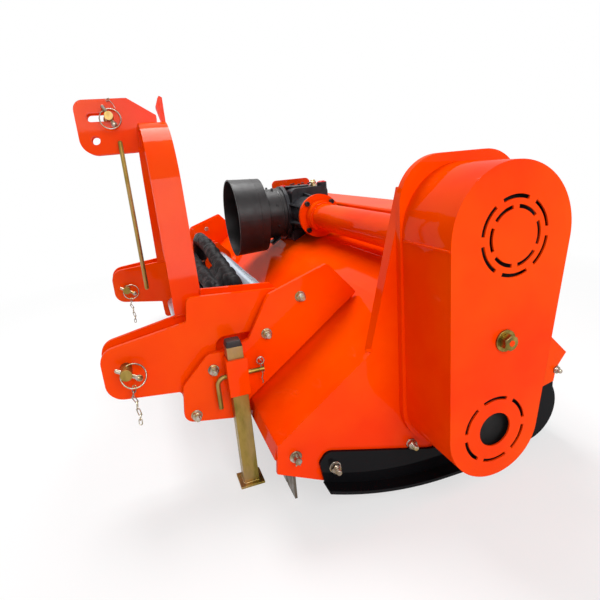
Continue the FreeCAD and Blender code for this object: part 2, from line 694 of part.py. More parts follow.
def make_gearbox():
    """Right-angle gearbox casting: input to the front, output to the left."""
    item = body("gearbox")
    half = D.gear_half_x
    neck_len = D.flange_x - D.flange_thick - half
    sketch = new_sketch(item, "gear_case", "YZ_Plane")
    outline(sketch, [(D.gear_front_y, D.gear_low_z), (D.gear_front_y, D.gear_high_z, D.gear_edge),
                     (D.gear_rear_y, D.gear_high_z, D.gear_edge), (D.gear_rear_y, D.gear_low_z)])
    pad(item, sketch, half * 2)
    add_round(item, "gear_neck", "YZ_Plane", half * 2, D.drive_y, D.drive_z, D.gear_neck_r, neck_len)
    add_round(item, "gear_cap", "YZ_Plane", 0, D.drive_y, D.drive_z, D.gear_cap_r,
              D.mount_plate_x - half, reverse=True)
    rib = new_sketch(item, "gear_rib", "XZ_Plane", lift=D.gear_rib / 2 - D.drive_y, up=D.drive_z)
    outline(rib, [(half * 2, D.gear_neck_r / 2), (half * 2, D.gear_neck_r + D.gear_rib_high),
                  (half * 2 + neck_len, D.gear_neck_r), (half * 2 + neck_len, D.gear_neck_r / 2)])
    web = pad(item, rib, D.gear_rib, reverse=True)
    repeat_round(item, web, rib, "H_Axis", D.gear_rib_count)
    ring_back = D.gear_ring_y + D.gear_ring_thick
    add_round(item, "gear_ring", "XZ_Plane", -ring_back, half, D.drive_z, D.gear_ring_r,
              D.gear_ring_thick)
    add_round(item, "gear_throat", "XZ_Plane", -D.gear_front_y, half, D.drive_z, D.gear_throat_r,
              D.gear_front_y - ring_back)
    add_round(item, "gear_input", "XZ_Plane", -D.gear_ring_y, half, D.drive_z, D.input_boss_r,
              D.input_boss_len)
    lid = new_sketch(item, "gear_lid", "XY_Plane", lift=D.gear_high_z)
    circle(lid, half, D.drive_y, D.gear_lid_r)
    pad(item, lid, D.gear_lid_high)
    band = new_sketch(item, "gear_band", "YZ_Plane")
    rectangle(band, D.gear_front_y - D.gear_band, D.drive_z - D.gear_band_high / 2,
              D.gear_front_y, D.drive_z + D.gear_band_high / 2)
    pad(item, band, half * 2)
    doc.recompute()
    bore = new_sketch(item, "gear_bore", "XZ_Plane", lift=D.input_boss_len - D.gear_ring_y)
    circle(bore, half, D.drive_z, D.input_seat_r + D.running_gap)
    pocket(item, bore, D.input_bore)
    return sub_part(item, "gearbox", at_x=-half)


def make_input_shaft():
    """Input shaft: the free stretch for the drive shaft's yoke and the journal behind it."""
    boss_front_y = D.gear_ring_y - D.input_boss_len
    free = boss_front_y - D.input_step - D.input_front_y
    journal = D.input_bore + D.input_step - D.input_rest
    stub = cylinder("input_stub", D.input_r, free, "y")
    seat = cylinder("input_journal", D.input_seat_r, journal, "y", y=free)
    item = fuse("input_shaft", [stub, seat])
    return sub_part(item, "input_shaft", at_x=0, at_y=D.input_front_y, at_z=D.drive_z)


def make_guard():
    """Plastic guard: a wide open drum in front and a neck to the gearbox."""
    wall = D.guard_wall
    drum_len = D.guard_step_y - D.guard_front_y
    drums = []
    for name, skin, length in (("guard_drum", 0, drum_len), ("guard_hollow", wall, drum_len - wall)):
        drum = doc.addObject("Part::Cone", name)
        drum.Placement = FreeCAD.Placement(V(0, 0, 0), FreeCAD.Rotation(V(1, 0, 0), -90))
        bind(drum, "Radius1", D.guard_big_r - skin)
        bind(drum, "Radius2", D.guard_rear_r - skin)
        bind(drum, "Height", length)
        drums.append(drum)
    whole = D.gear_ring_y - D.guard_front_y
    neck = cylinder("guard_neck", D.guard_neck_r, whole, "y")
    neck_hollow = cylinder("guard_neck_hollow", D.guard_neck_r - wall, whole, "y")
    item = cut("pto_guard", fuse("guard_skin", [drums[0], neck]),
               fuse("guard_inside", [drums[1], neck_hollow]))
    return sub_part(item, "pto_guard", at_y=D.guard_front_y, at_z=D.guard_z)


def make_drive_tube():
    """Flanged tube over the cross shaft, from the gearbox to the side plate."""
    whole = INNER_X - D.flange_x + D.flange_thick
    tube = cylinder("tube_outside", D.tube_r, whole, "x")
    flange = cylinder("tube_flange", D.flange_r, D.flange_thick, "x")
    collar = cylinder("tube_collar", D.collar_r, D.collar_len + D.flange_thick, "x")
    bore = cylinder("tube_inside", D.tube_r - D.tube_wall, whole, "x")
    item = cut("drive_tube", fuse("tube_skin", [tube, flange, collar]), bore)
    return sub_part(item, "drive_tube", at_x=D.flange_x - D.flange_thick, at_y=D.drive_y,
                    at_z=D.drive_z)


# ---------------------------------------------------------------- rotor and roller


def make_hammer(number, offset, angle):
    """One hammer between its two lugs, turned about the rotor's axis."""
    half_gap = D.lug_gap / 2
    root = D.rotor_tube_r * 0.9
    pieces = []
    for at_x in (offset - half_gap - D.lug_thick, offset + half_gap):
        pieces.append(box(f"lug{number}", (D.lug_thick, D.lug_wide, D.lug_top_r - root),
                          (at_x, D.lug_wide * -0.5, root)))
    pieces.append(box(f"shank{number}", (D.lug_gap, D.shank_thick, D.head_low_r - root),
                      (offset - half_gap, D.shank_thick * -0.5, root)))
    pieces.append(box(f"head{number}", (D.head_wide, D.head_thick, D.rotor_tip_r - D.head_low_r),
                      (offset - D.head_wide / 2, D.head_thick * -0.5, D.head_low_r)))
    hammer = fuse(f"hammer{number}", pieces)
    hammer.Placement = FreeCAD.Placement(V(0, 0, 0), FreeCAD.Rotation(V(1, 0, 0), angle))
    return hammer


def hollow_drum(name, radius, wall, disc, half):
    """A closed drum along X: its skin and its two end discs."""
    skin = cylinder(f"{name}_skin", radius, half * 2, "x", x=-half)
    inside = cylinder(f"{name}_inside", radius - wall, (half - disc) * 2, "x", x=disc - half)
    return cut(f"{name}_drum", skin, inside)


def make_rotor():
    """Rotor tube with its shaft ends and spiral rows of hammers."""
    half = INNER_X - D.rotor_gap
    drum = hollow_drum("rotor", D.rotor_tube_r, D.rotor_wall, D.rotor_disc, half)
    inner = half - D.rotor_disc / 2
    right = D.half_width + D.bearing_thick - D.bearing_inset
    left = FACE_X - D.shaft_inset
    stubs = [cylinder("rotor_stub_right", D.shaft_r, right - inner, "x", x=-right),
             cylinder("rotor_stub_left", D.shaft_r, left - inner, "x", x=inner)]
    rows, in_row = SIZES["hammer_rows"], SIZES["hammers_in_row"]
    pitch = half * 2 / in_row
    hammers = []
    for row in range(rows):
        for spot in range(in_row):
            offset = pitch * (spot + 0.25 + 0.5 * (row % 2)) - half
            angle = 360 / rows * row + SIZES["hammer_twist"] * spot
            hammers.append(make_hammer(row * in_row + spot, offset, angle))
    item = fuse("rotor", [drum] + stubs + hammers)
    item.Refine = False
    return sub_part(item, "rotor", at_y=D.rotor_y, at_z=D.rotor_z)


def make_roller():
    half = INNER_X - D.arm_thick - D.roller_gap
    drum = hollow_drum("roller", D.roller_r, D.roller_wall, D.roller_disc, half)
    inner = half - D.roller_disc / 2
    outer = INNER_X - D.axle_inset
    stubs = [cylinder("roller_stub_right", D.axle_r, outer - inner, "x", x=-outer),
             cylinder("roller_stub_left", D.axle_r, outer - inner, "x", x=inner)]
    item = fuse("rear_roller", [drum] + stubs)
    return sub_part(item, "rear_roller", at_y=D.roller_y, at_z=D.roller_z)


def make_roller_arm(side):
    """Arm of the roller, round below, bolted inside the side plate."""
    item = body(f"roller_arm_{side}")
    sketch = new_sketch(item, f"arm_outline_{side}", "YZ_Plane")
    high = D.arm_high
    outline(sketch, [(-D.arm_front, -D.arm_low, D.arm_round), (D.arm_rear, -D.arm_low, D.arm_round),
                     (D.arm_rear, high - D.arm_neck, D.arm_neck), (D.arm_neck, high, D.arm_neck),
                     (-D.arm_front, high, D.arm_neck)])
    circle(sketch, 0, 0, D.axle_r + D.running_gap)
    pad(item, sketch, D.arm_thick)
    at_x = INNER_X - D.arm_thick if side == "left" else -INNER_X
    return sub_part(item, f"roller_arm_{side}", at_x=at_x, at_y=D.roller_y, at_z=D.roller_z)


def make_skid(side, sign):
    """Black runner bolted outside the side plate: a tall web on a curved sole."""
    item = body(f"skid_{side}")
    flip = side == "right"
    thick = D.skid_thick
    middle_r = D.skid_bend_r - thick / 2
    centre_z = D.skid_low_z + D.skid_bend_r
    curve = new_sketch(item, f"skid_curve_{side}", "YZ_Plane", side=D.skid_flat_y, up=centre_z)
    arc_slot(curve, middle_r, thick, D.skid_sweep * -1 - 90, D.skid_sweep)
    pad(item, curve, D.skid_wide, reverse=flip)
    flat = new_sketch(item, f"skid_flat_{side}", "YZ_Plane")
    rectangle(flat, D.skid_flat_y, D.skid_low_z, D.skid_rear_y, D.skid_low_z + thick)
    pad(item, flat, D.skid_wide, reverse=flip)
    chords = []
    for part in range(5):
        turn = math.radians(SIZES["skid_sweep"] * (1 - part / 4))
        chords.append((D.skid_flat_y - middle_r * math.sin(turn),
                       centre_z - middle_r * math.cos(turn)))
    web = new_sketch(item, f"skid_web_{side}", "YZ_Plane")
    outline(web, [(D.skid_nose_y, D.skid_nose_z, D.skid_round / 2),
                  (D.skid_brow_y, D.skid_brow_z, D.skid_round),
                  (D.skid_waist_y, D.skid_waist_z, D.skid_round * 3),
                  (D.skid_rear_y, D.skid_rear_z), (D.skid_rear_y, D.skid_low_z + thick / 2)]
            + chords[::-1])
    pad(item, web, thick, reverse=flip)
    return sub_part(item, f"skid_{side}", at_x=D.half_width * sign)


def make_flaps():
    """Row of steel flaps that hang from a rod behind the front lip."""
    count = SIZES["flap_count"]
    start = D.flap_pitch * (count / -2)
    drop = D.flap_z - D.flap_low_z
    ear = D.flap_rod_r + D.flap_thick
    flaps = []
    for number in range(count):
        left = start + D.flap_pitch * number + (D.flap_pitch - D.flap_wide) / 2
        eye = cylinder("flap_eye", ear, D.flap_wide, "x", x=left)
        blade = box("flap_blade", (D.flap_wide, D.flap_thick, drop),
                    (left, D.flap_thick * -0.5, -drop))
        hole = cylinder("flap_hole", D.flap_rod_r + D.running_gap, D.flap_wide, "x", x=left)
        flaps.append(cut("flap", fuse("flap_skin", [eye, blade]), hole))
    item = group("front_flaps", flaps)
    return sub_part(item, "front_flaps", at_y=D.flap_y, at_z=D.flap_z)


def make_flap_rod():
    reach = D.half_width + D.flap_rod_out
    item = cylinder("flap_rod", D.flap_rod_r, reach * 2, "x")
    return sub_part(item, "flap_rod", at_x=-reach, at_y=D.flap_y, at_z=D.flap_z)


# ---------------------------------------------------------------- slide plates


def plate_corners(plate, names, from_y, from_z):
    return [corner(plate, name, from_y, from_z) for name in names]


def make_base_plate(side):
    """Welded lug that stands on the hood and carries the bars; the right one takes the rod."""
    item = body(f"base_plate_{side}")
    sketch = new_sketch(item, f"base_outline_{side}", "YZ_Plane")
    low_y, low_z = D.bar_lower_y, D.bar_lower_z
    upper = ["crown", "neck", "rod_lug", "brow"]
    if side == "left":
        upper = ["crown", "neck", "notch", "shoulder", "brow"]
    outline(sketch, plate_corners("base", ["toe", "sole"], low_y, low_z)
            + [(D.lip_low_y, D.lip_low_z), (D.lip_top_y, D.lip_top_z),
               (D.base_rear_y, front_slope_z(D.base_rear_y))]
            + plate_corners("base", upper, low_y, low_z))
    for y, z in ((D.bar_upper_y, D.bar_upper_z), (D.bar_lower_y, D.bar_lower_z)):
        circle(sketch, y, z, D.bar_r + D.running_gap)
    pad(item, sketch, D.end_thick)
    outer = D.end_x - D.end_thick
    at_x = outer - D.end_thick if side == "left" else -outer
    return sub_part(item, f"base_plate_{side}", at_x=at_x)


def make_end_plate(side):
    """Bolted plate over the bars' ends, with the notch over the parking leg."""
    item = body(f"end_plate_{side}")
    sketch = new_sketch(item, f"end_outline_{side}", "YZ_Plane")
    names = ["toe", "sole", "instep", "heel_low", "heel", "crown", "neck", "notch", "seat",
             "shoulder", "brow"]
    outline(sketch, plate_corners("end", names, D.bar_lower_y, D.bar_lower_z))
    pad(item, sketch, D.end_thick)
    at_x = D.end_x - D.end_thick if side == "left" else -D.end_x
    return sub_part(item, f"end_plate_{side}", at_x=at_x)


def make_bar(name, y, z):
    half = D.end_x - D.end_thick
    item = cylinder(name, D.bar_r, half * 2, "x")
    return sub_part(item, name, at_x=-half, at_y=y, at_z=z)


# ---------------------------------------------------------------- parking legs


def make_leg_sleeve(side):
    """Channel that guides the leg, closed by the end plate it is welded to."""
    inner = D.leg_size + D.leg_gap * 2
    reach = inner + D.sleeve_wall
    height = D.sleeve_high_z - D.sleeve_low_z
    near = 0 if side == "left" else D.sleeve_wall
    skin = box(f"sleeve_skin_{side}", (reach, SLEEVE_SIZE, height), (0, SLEEVE_SIZE * -0.5, 0))
    hole = box(f"sleeve_hole_{side}", (inner, inner, height), (near, inner * -0.5, 0))
    pin_hole = cylinder(f"sleeve_pin_hole_{side}", D.leg_pin_r, SLEEVE_SIZE, "y",
                        x=near + inner / 2, y=SLEEVE_SIZE * -0.5, z=D.leg_pin_z - D.sleeve_low_z)
    item = cut(f"leg_sleeve_{side}", skin, fuse(f"sleeve_inside_{side}", [hole, pin_hole]))
    at_x = D.end_x if side == "left" else -(D.end_x + reach)
    return sub_part(item, f"leg_sleeve_{side}", at_x=at_x, at_y=D.leg_y, at_z=D.sleeve_low_z)


def make_leg(side, sign):
    """Square tube leg with its foot plate."""
    half = D.leg_size / 2
    core = D.leg_size - D.leg_wall * 2
    tube = box(f"leg_tube_{side}", (D.leg_size, D.leg_size, D.leg_top_z), (-half, -half, 0))
    hollow = box(f"leg_hollow_{side}", (core, core, D.leg_top_z - D.foot_thick),
                 (core * -0.5, core * -0.5, D.foot_thick))
    foot = box(f"leg_foot_{side}", (D.foot_size, D.foot_size, D.foot_thick),
               (D.foot_size * -0.5, D.foot_size * -0.5, 0))
    hole = cylinder(f"leg_hole_{side}", D.leg_pin_r + D.leg_pin_slack, D.leg_size, "y", y=-half,
                    z=D.leg_pin_z)
    item = cut(f"parking_leg_{side}", fuse(f"leg_skin_{side}", [tube, foot]),
               fuse(f"leg_inside_{side}", [hollow, hole]))
    return sub_part(item, f"parking_leg_{side}", at_x=LEG_X * sign, at_y=D.leg_y)


def make_leg_pin(side, sign):
    """Bent pin through the sleeve, as its two ends: the leg between them stays free to slide."""
    handle_y = SLEEVE_SIZE * -0.5 - D.leg_pin_out
    curve = D.leg_pin_bend
    pin = cylinder(f"leg_pin_front_{side}", D.leg_pin_r, D.leg_pin_out + D.sleeve_wall - curve,
                   "y", y=handle_y + curve)
    elbow = bend(f"leg_pin_bend_{side}", D.leg_pin_r, curve, -90, 0, handle_y + curve, -curve,
                 facing=90)
    handle = cylinder(f"leg_pin_handle_{side}", D.leg_pin_r, D.leg_pin_drop - curve, "z",
                      y=handle_y, z=-D.leg_pin_drop)
    near = fuse(f"leg_pin_near_{side}", [pin, elbow, handle])
    far = cylinder(f"leg_pin_far_{side}", D.leg_pin_r, D.leg_pin_tip + D.sleeve_wall, "y",
                   y=SLEEVE_SIZE / 2 - D.sleeve_wall)
    item = group(f"leg_pin_{side}", [near, far])
    return sub_part(item, f"leg_pin_{side}", at_x=LEG_X * sign, at_y=D.leg_y, at_z=D.leg_pin_z)


# ---------------------------------------------------------------- hitch frame


def link_plate(side, name, offset, near, holed):
    """One plate of a lower clevis; the near ones, towards the middle, carry the arch."""
    item = body(name)
    sketch = new_sketch(item, name + "_outline", "YZ_Plane")
    pin_z = D.pin_z
    nose = f"link_{side}"
    front = plate_corners(nose, ["heel", "brow"], 0, pin_z)
    rear = (plate_corners("link", ["top_rear", "bar_rear", "bar_low", "waist", "low_rear"], 0, pin_z)
            + plate_corners(nose, ["low_front", "sole"], 0, pin_z))
    crest = corner("link", "crest", 0, pin_z)
    if near:
        seat_z = D.arch_foot_z
        top = [(D.arch_front_y, seat_z), (ARCH_REAR_Y, seat_z), (ARCH_REAR_Y, crest[1])]
    else:
        top = [corner(nose, "step", 0, pin_z), crest]
    outline(sketch, front + top + rear)
    circle(sketch, 0, pin_z, D.pin_r + D.running_gap)
    circle(sketch, D.bar_upper_y, D.bar_upper_z, D.bush_r)
    circle(sketch, D.bar_lower_y, D.bar_lower_z, D.bush_r)
    if holed:
        circle(sketch, D.cyl_y, D.cyl_z, D.rod_r + D.rod_gap)
    elif not near:
        rectangle(sketch, D.window_front_y, D.window_low_z, D.window_rear_y, D.window_high_z,
                  D.window_round)
    pad(item, sketch, D.link_thick)
    bind(item, "Placement.Base.x", offset)
    return item


def make_link_plates(side, sign):
    """Clevis of two plates for one lower link."""
    right_x, left_x = -D.clevis_gap / 2 - D.link_thick, D.clevis_gap / 2
    holed = side == "right"
    plates = [link_plate(side, f"link_plate_a_{side}", right_x, side == "left", holed),
              link_plate(side, f"link_plate_b_{side}", left_x, side == "right", holed)]
    item = group(f"link_plates_{side}", plates)
    return sub_part(item, f"link_plates_{side}", at_x=D.hitch_x + D.link_spread / 2 * sign)


def make_bushes():
    """Bushes through the link plates, running on the two bars."""
    bushes = []
    reach = D.clevis_gap + D.link_thick * 2
    bars = ((D.bar_upper_y, D.bar_upper_z), (D.bar_lower_y, D.bar_lower_z))
    for side, sign in sides():
        for number, (y, z) in enumerate(bars):
            start = D.link_spread / 2 * sign - reach / 2
            skin = cylinder(f"bush_skin_{side}{number}", D.bush_r, reach, "x", x=start, y=y, z=z)
            hole = cylinder(f"bush_hole_{side}{number}", D.bar_r + D.running_gap, reach, "x",
                            x=start, y=y, z=z)
            bushes.append(cut(f"bush_{side}{number}", skin, hole))
    item = group("slide_bushes", bushes)
    return sub_part(item, "slide_bushes", at_x=D.hitch_x)


def make_cross_tube():
    """Square tube between the two clevises."""
    size = D.cross_size
    wall = D.cross_wall
    inner = size - wall * 2
    skin = box("cross_skin", (BARREL_LEN, size, size), (0, 0, 0))
    hole = box("cross_hole", (BARREL_LEN, inner, inner), (0, wall, wall))
    item = cut("cross_tube", skin, hole)
    return sub_part(item, "cross_tube", at_x=BARREL_RIGHT_X, at_y=D.cross_y, at_z=D.cross_z)


def headed_pin(name, radius, inner, outer):
    """A pin along X with its head on the right, from -inner to outer."""
    rod = cylinder(f"{name}_rod", radius, inner + outer, "x", x=-inner)
    head = cylinder(f"{name}_head", radius + D.pin_head_out, D.pin_head, "x", x=-inner)
    return fuse(name, [rod, head])


def make_lower_pin(side, sign):
    half = D.clevis_gap / 2 + D.link_thick
    item = headed_pin(f"lower_link_pin_{side}", D.pin_r, half + D.pin_in, half + D.pin_out)
    return sub_part(item, f"lower_link_pin_{side}", at_x=D.hitch_x + D.link_spread / 2 * sign,
                    at_z=D.pin_z)


def top_plate(name, offset):
    """One of the two plates that stand on the arch for the top link."""
    item = body(name)
    sketch = new_sketch(item, name + "_outline", "YZ_Plane")
    pin_y, pin_z = D.mast_back, MAST_Z
    seat_rear_y = D.arch_front_y + D.top_seat_wide
    outline(sketch, plate_corners("top", ["chin", "brow", "crown", "slope"], pin_y, pin_z)
            + [(seat_rear_y, ARCH_TOP_Z), (D.arch_front_y, ARCH_TOP_Z),
               (D.arch_front_y, ARCH_TOP_Z - D.top_foot_high, D.foot_round)])
    circle(sketch, pin_y + D.spare_y, pin_z + D.spare_z, D.spare_r)
    circle(sketch, D.hook_y, HOOK_TOP_Z, D.hook_r + D.running_gap)
    slot_r = D.top_pin_r + D.running_gap
    stadium(sketch, (pin_y, pin_z, slot_r), (pin_y - D.slot_len, pin_z, slot_r))
    pad(item, sketch, D.top_thick)
    bind(item, "Placement.Base.x", offset)
    return item


def make_top_plates():
    right = top_plate("top_plate_right", -D.top_gap / 2 - D.top_thick)
    left = top_plate("top_plate_left", D.top_gap / 2)
    item = group("top_link_plates", [right, left])
    return sub_part(item, "top_link_plates", at_x=D.hitch_x)


def make_top_pin():
    half = D.top_gap / 2 + D.top_thick
    item = headed_pin("top_link_pin", D.top_pin_r, half + D.top_pin_in, half + D.top_pin_out)
    return sub_part(item, "top_link_pin", at_x=D.hitch_x, at_y=D.mast_back, at_z=MAST_Z)


def make_arch():
    """Flat bar bent into an arch; its leaning legs stand on the clevises' near plates."""
    item = body("hitch_arch")
    thick = D.arch_thick
    slant = math.hypot(1, SIZES["arch_lean"])
    foot_half = D.link_spread / 2 - D.clevis_gap / 2 + D.arch_over

    def half_at(z, inset):
        return foot_half - D.arch_lean * (z - D.arch_foot_z) - inset * slant

    def leg_points(top, inset, bend_r):
        foot = half_at(D.arch_foot_z, inset)
        shoulder = half_at(top, inset)
        return [(-foot, D.arch_foot_z), (-shoulder, top, bend_r), (shoulder, top, bend_r),
                (foot, D.arch_foot_z)]

    outside = leg_points(ARCH_TOP_Z, Size(0, "0"), D.arch_bend_r)
    inside = leg_points(ARCH_TOP_Z - thick, thick, D.arch_bend_r - thick)
    sketch = new_sketch(item, "arch_outline", "XZ_Plane")
    outline(sketch, outside + inside[::-1])
    pad(item, sketch, D.arch_wide, reverse=True)
    return sub_part(item, "hitch_arch", at_x=D.hitch_x, at_y=D.arch_front_y)


def make_hose_lug():
    """Thin scalloped lug for the tractor's hoses, upright behind the arch's top."""
    item = body("hose_lug")
    sketch = new_sketch(item, "lug_outline", "YZ_Plane")
    names = ["heel", "waist", "bulge", "crown", "tip", "back"]
    outline(sketch, plate_corners("lug", names, ARCH_REAR_Y, ARCH_TOP_Z))
    pad(item, sketch, D.hose_lug_half * 2)
    return sub_part(item, "hose_lug", at_x=D.hitch_x - D.hose_lug_half)


def make_hook_rod():
    """Round rod hooked in the top plate, bent at its low end to carry the drive shaft."""
    radius = D.hook_r
    eye_x = D.top_gap / 2 - D.hook_inner
    rod_x = D.top_gap / 2 + D.top_thick + D.hook_side
    drop = HOOK_TOP_Z - D.hook_low_z
    eye = cylinder("hook_eye", radius, rod_x - eye_x, "x", x=eye_x)
    straight = cylinder("hook_straight", radius, drop, "z", x=rod_x, z=-drop)
    toe = cylinder("hook_toe", radius, D.hook_toe, "x", x=rod_x - D.hook_toe, z=-drop)
    item = fuse("hook_rod", [eye, straight, toe, ball("hook_bend_high", radius, x=rod_x),
                             ball("hook_bend_low", radius, x=rod_x, z=-drop)])
    return sub_part(item, "hook_rod", at_x=D.hitch_x, at_y=D.hook_y, at_z=HOOK_TOP_Z)


# ---------------------------------------------------------------- side-shift cylinder


def make_barrel():
    """Barrel held between the clevises' near plates, with its head and its four ports."""
    skins = [cylinder("barrel_skin", D.barrel_r, BARREL_LEN, "x"),
             cylinder("barrel_head", D.barrel_head_r, D.barrel_head, "x")]
    for at_x in (D.front_hose_inset, BARREL_LEN - D.front_hose_inset):
        skins.append(cylinder("barrel_port", D.port_r, D.front_hose_top_z - D.front_hose_bend - D.cyl_z,
                              "z", x=at_x))
    for at_x in (D.rear_hose_inset, BARREL_LEN - D.rear_hose_inset):
        back = D.rear_hose_y - D.cyl_y
        skins.append(cylinder("barrel_elbow", D.port_r, back, "y", x=at_x))
        skins.append(cylinder("barrel_riser", D.port_r, D.rear_port_high, "z", x=at_x, y=back))
        skins.append(ball("barrel_corner", D.port_r, x=at_x, y=back))
    hole = cylinder("barrel_hole", D.rod_r + D.running_gap, BARREL_LEN - D.barrel_end, "x")
    item = cut("shift_barrel", fuse("barrel_outside", skins), hole)
    return sub_part(item, "shift_barrel", at_x=BARREL_RIGHT_X, at_y=D.cyl_y, at_z=D.cyl_z)


def falling_run(name, radius, length, drop, x, y, z):
    """The run of a hose that comes down to the left, rounded at both ends."""
    run = cylinder(name, radius, math.hypot(num(length), num(drop)), "x", x=x, y=y, z=z)
    slope = math.degrees(math.atan2(num(drop), num(length)))
    run.Placement.Rotation = FreeCAD.Rotation(V(0, 1, 0), 90 + slope)
    return [run, ball(f"{name}_knee", radius, x=x, y=y, z=z),
            ball(f"{name}_end", radius, x=x + length, y=y, z=z - drop)]


def hose_loop(name, radius, bend_r, inset, y, low_z, top_z, fall=None):
    """One hose from port to port: up, over to the left in a level run, and down again; a fall
    gives the length of its falling run, how far that comes down and the radius of its bend."""
    left, right = BARREL_LEN - inset, inset
    length, drop, left_r = fall or (Size(0, "0"), Size(0, "0"), bend_r)
    knee_x = left - left_r - length
    start_x = right + bend_r
    left_z, right_z = top_z - drop - left_r, top_z - bend_r
    pieces = [bend(f"{name}_bend_left", radius, left_r, 0, left - left_r, y, left_z),
              bend(f"{name}_bend_right", radius, bend_r, -90, start_x, y, right_z),
              cylinder(f"{name}_run", radius, knee_x - start_x, "x", x=start_x, y=y, z=top_z)]
    if fall:
        pieces += falling_run(f"{name}_fall", radius, length, drop, knee_x, y, top_z)
    for at_x, bend_z in ((left, left_z), (right, right_z)):
        if num(bend_z) > num(low_z):
            pieces.append(cylinder(f"{name}_rise", radius, bend_z - low_z, "z", x=at_x, y=y, z=low_z))
    return fuse(name, pieces)


def make_hoses():
    """The two sleeved hoses looped over the barrel."""
    front = hose_loop("front_hose", D.front_hose_r, D.front_hose_bend, D.front_hose_inset,
                      Size(0, "0"), D.front_hose_top_z - D.front_hose_bend, D.front_hose_top_z)
    rear = hose_loop("rear_hose", D.rear_hose_r, D.rear_hose_bend, D.rear_hose_inset,
                     D.rear_hose_y - D.cyl_y, D.cyl_z + D.rear_port_high, D.rear_hose_top_z,
                     (D.rear_hose_fall, D.rear_hose_drop, D.rear_hose_end_bend))
    item = group("hose_bundle", [front, rear])
    return sub_part(item, "hose_bundle", at_x=BARREL_RIGHT_X, at_y=D.cyl_y)


def make_rod():
    """Rod from the right base plate into the barrel."""
    start = D.end_thick * 2 - D.end_x
    item = cylinder("shift_rod", D.rod_r, BARREL_RIGHT_X + D.rod_inside - start, "x")
    return sub_part(item, "shift_rod", at_x=start, at_y=D.cyl_y, at_z=D.cyl_z)


# ---------------------------------------------------------------- build


def build_all():
    make_deck()
    for side, sign in sides():
        make_side_plate(side)
        make_roller_arm(side)
        make_skid(side, sign)
        make_base_plate(side)
        make_end_plate(side)
        make_leg_sleeve(side)
        make_leg(side, sign)
        make_leg_pin(side, sign)
        make_link_plates(side, sign)
        make_lower_pin(side, sign)
    make_beam()
    make_belt_case()
    make_cover()
    make_bearing()
    make_pedestal()
    make_gearbox()
    make_input_shaft()
    make_guard()
    make_drive_tube()
    make_rotor()
    make_roller()
    make_flaps()
    make_flap_rod()
    make_bar("slide_bar_upper", D.bar_upper_y, D.bar_upper_z)
    make_bar("slide_bar_lower", D.bar_lower_y, D.bar_lower_z)
    make_bushes()
    make_cross_tube()
    make_top_plates()
    make_top_pin()
    make_arch()
    make_hose_lug()
    make_hook_rod()
    make_barrel()
    make_hoses()
    make_rod()


def check_all():
    """Stops if any object failed or any sub-part has no sound shape."""
    for item in doc.Objects:
        if "Invalid" in item.State or "Error" in item.State:
            raise RuntimeError(f"{item.Label} failed: {item.State}")
    for item in SUB_PARTS:
        if item.Shape.isNull() or not item.Shape.isValid() or not item.Shape.Solids:
            raise RuntimeError(f"{item.Label} has no sound shape")


def write_all():
    os.makedirs("parts", exist_ok=True)
    for item in SUB_PARTS:
        item.Shape.exportStep(os.path.join("parts", item.Label + ".step"))


build_all()
doc.recompute()
check_all()
write_all()
whole = FreeCAD.BoundBox()
for item in SUB_PARTS:
    whole.add(item.Shape.BoundBox)
print(len(SUB_PARTS), "sub-parts; box", whole)
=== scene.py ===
"""Dresses the side-shift mulcher: paint, plating, fasteners, chains, hoses and the studio."""
import json
import math

import bmesh
import bpy
from mathutils import Matrix, Vector, noise


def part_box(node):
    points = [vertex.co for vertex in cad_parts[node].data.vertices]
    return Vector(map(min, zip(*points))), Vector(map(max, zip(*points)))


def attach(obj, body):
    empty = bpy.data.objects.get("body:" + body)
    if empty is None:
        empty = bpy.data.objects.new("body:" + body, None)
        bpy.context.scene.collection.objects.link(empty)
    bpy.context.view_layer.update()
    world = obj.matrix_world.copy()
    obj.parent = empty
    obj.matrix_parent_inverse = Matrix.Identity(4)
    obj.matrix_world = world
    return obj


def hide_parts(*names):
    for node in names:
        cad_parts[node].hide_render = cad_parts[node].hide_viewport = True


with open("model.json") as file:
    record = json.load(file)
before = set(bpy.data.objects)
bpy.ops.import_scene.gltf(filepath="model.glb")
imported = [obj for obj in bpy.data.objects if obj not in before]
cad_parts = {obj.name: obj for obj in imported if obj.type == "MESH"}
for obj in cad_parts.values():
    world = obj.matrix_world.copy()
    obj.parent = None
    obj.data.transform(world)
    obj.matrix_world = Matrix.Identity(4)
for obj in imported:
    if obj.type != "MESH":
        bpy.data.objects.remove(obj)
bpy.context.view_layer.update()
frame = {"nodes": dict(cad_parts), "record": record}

bl_info = {
    "name": "Side-shift mulcher",
    "version": (1, 0, 0),
    "blender": (4, 5, 0),
    "location": "3D View > Sidebar > Mulcher",
    "description": "Paint, plating, fasteners, chains, hoses and studio for a tractor mulcher",
    "category": "Object",
}

MM = 0.001
SIDES = (("left", 1), ("right", -1))
X, Y, Z = (1, 0, 0), (0, 1, 0), (0, 0, 1)


# ---------------- settings


def colour(name, description, default):
    """A setting for a colour."""
    return bpy.props.FloatVectorProperty(name=name, description=description, subtype="COLOR",
                                         default=default, min=0, max=1)


def length(name, description, default, least=0.0):
    """A setting for a length."""
    return bpy.props.FloatProperty(name=name, description=description, unit="LENGTH",
                                   default=default, min=least)


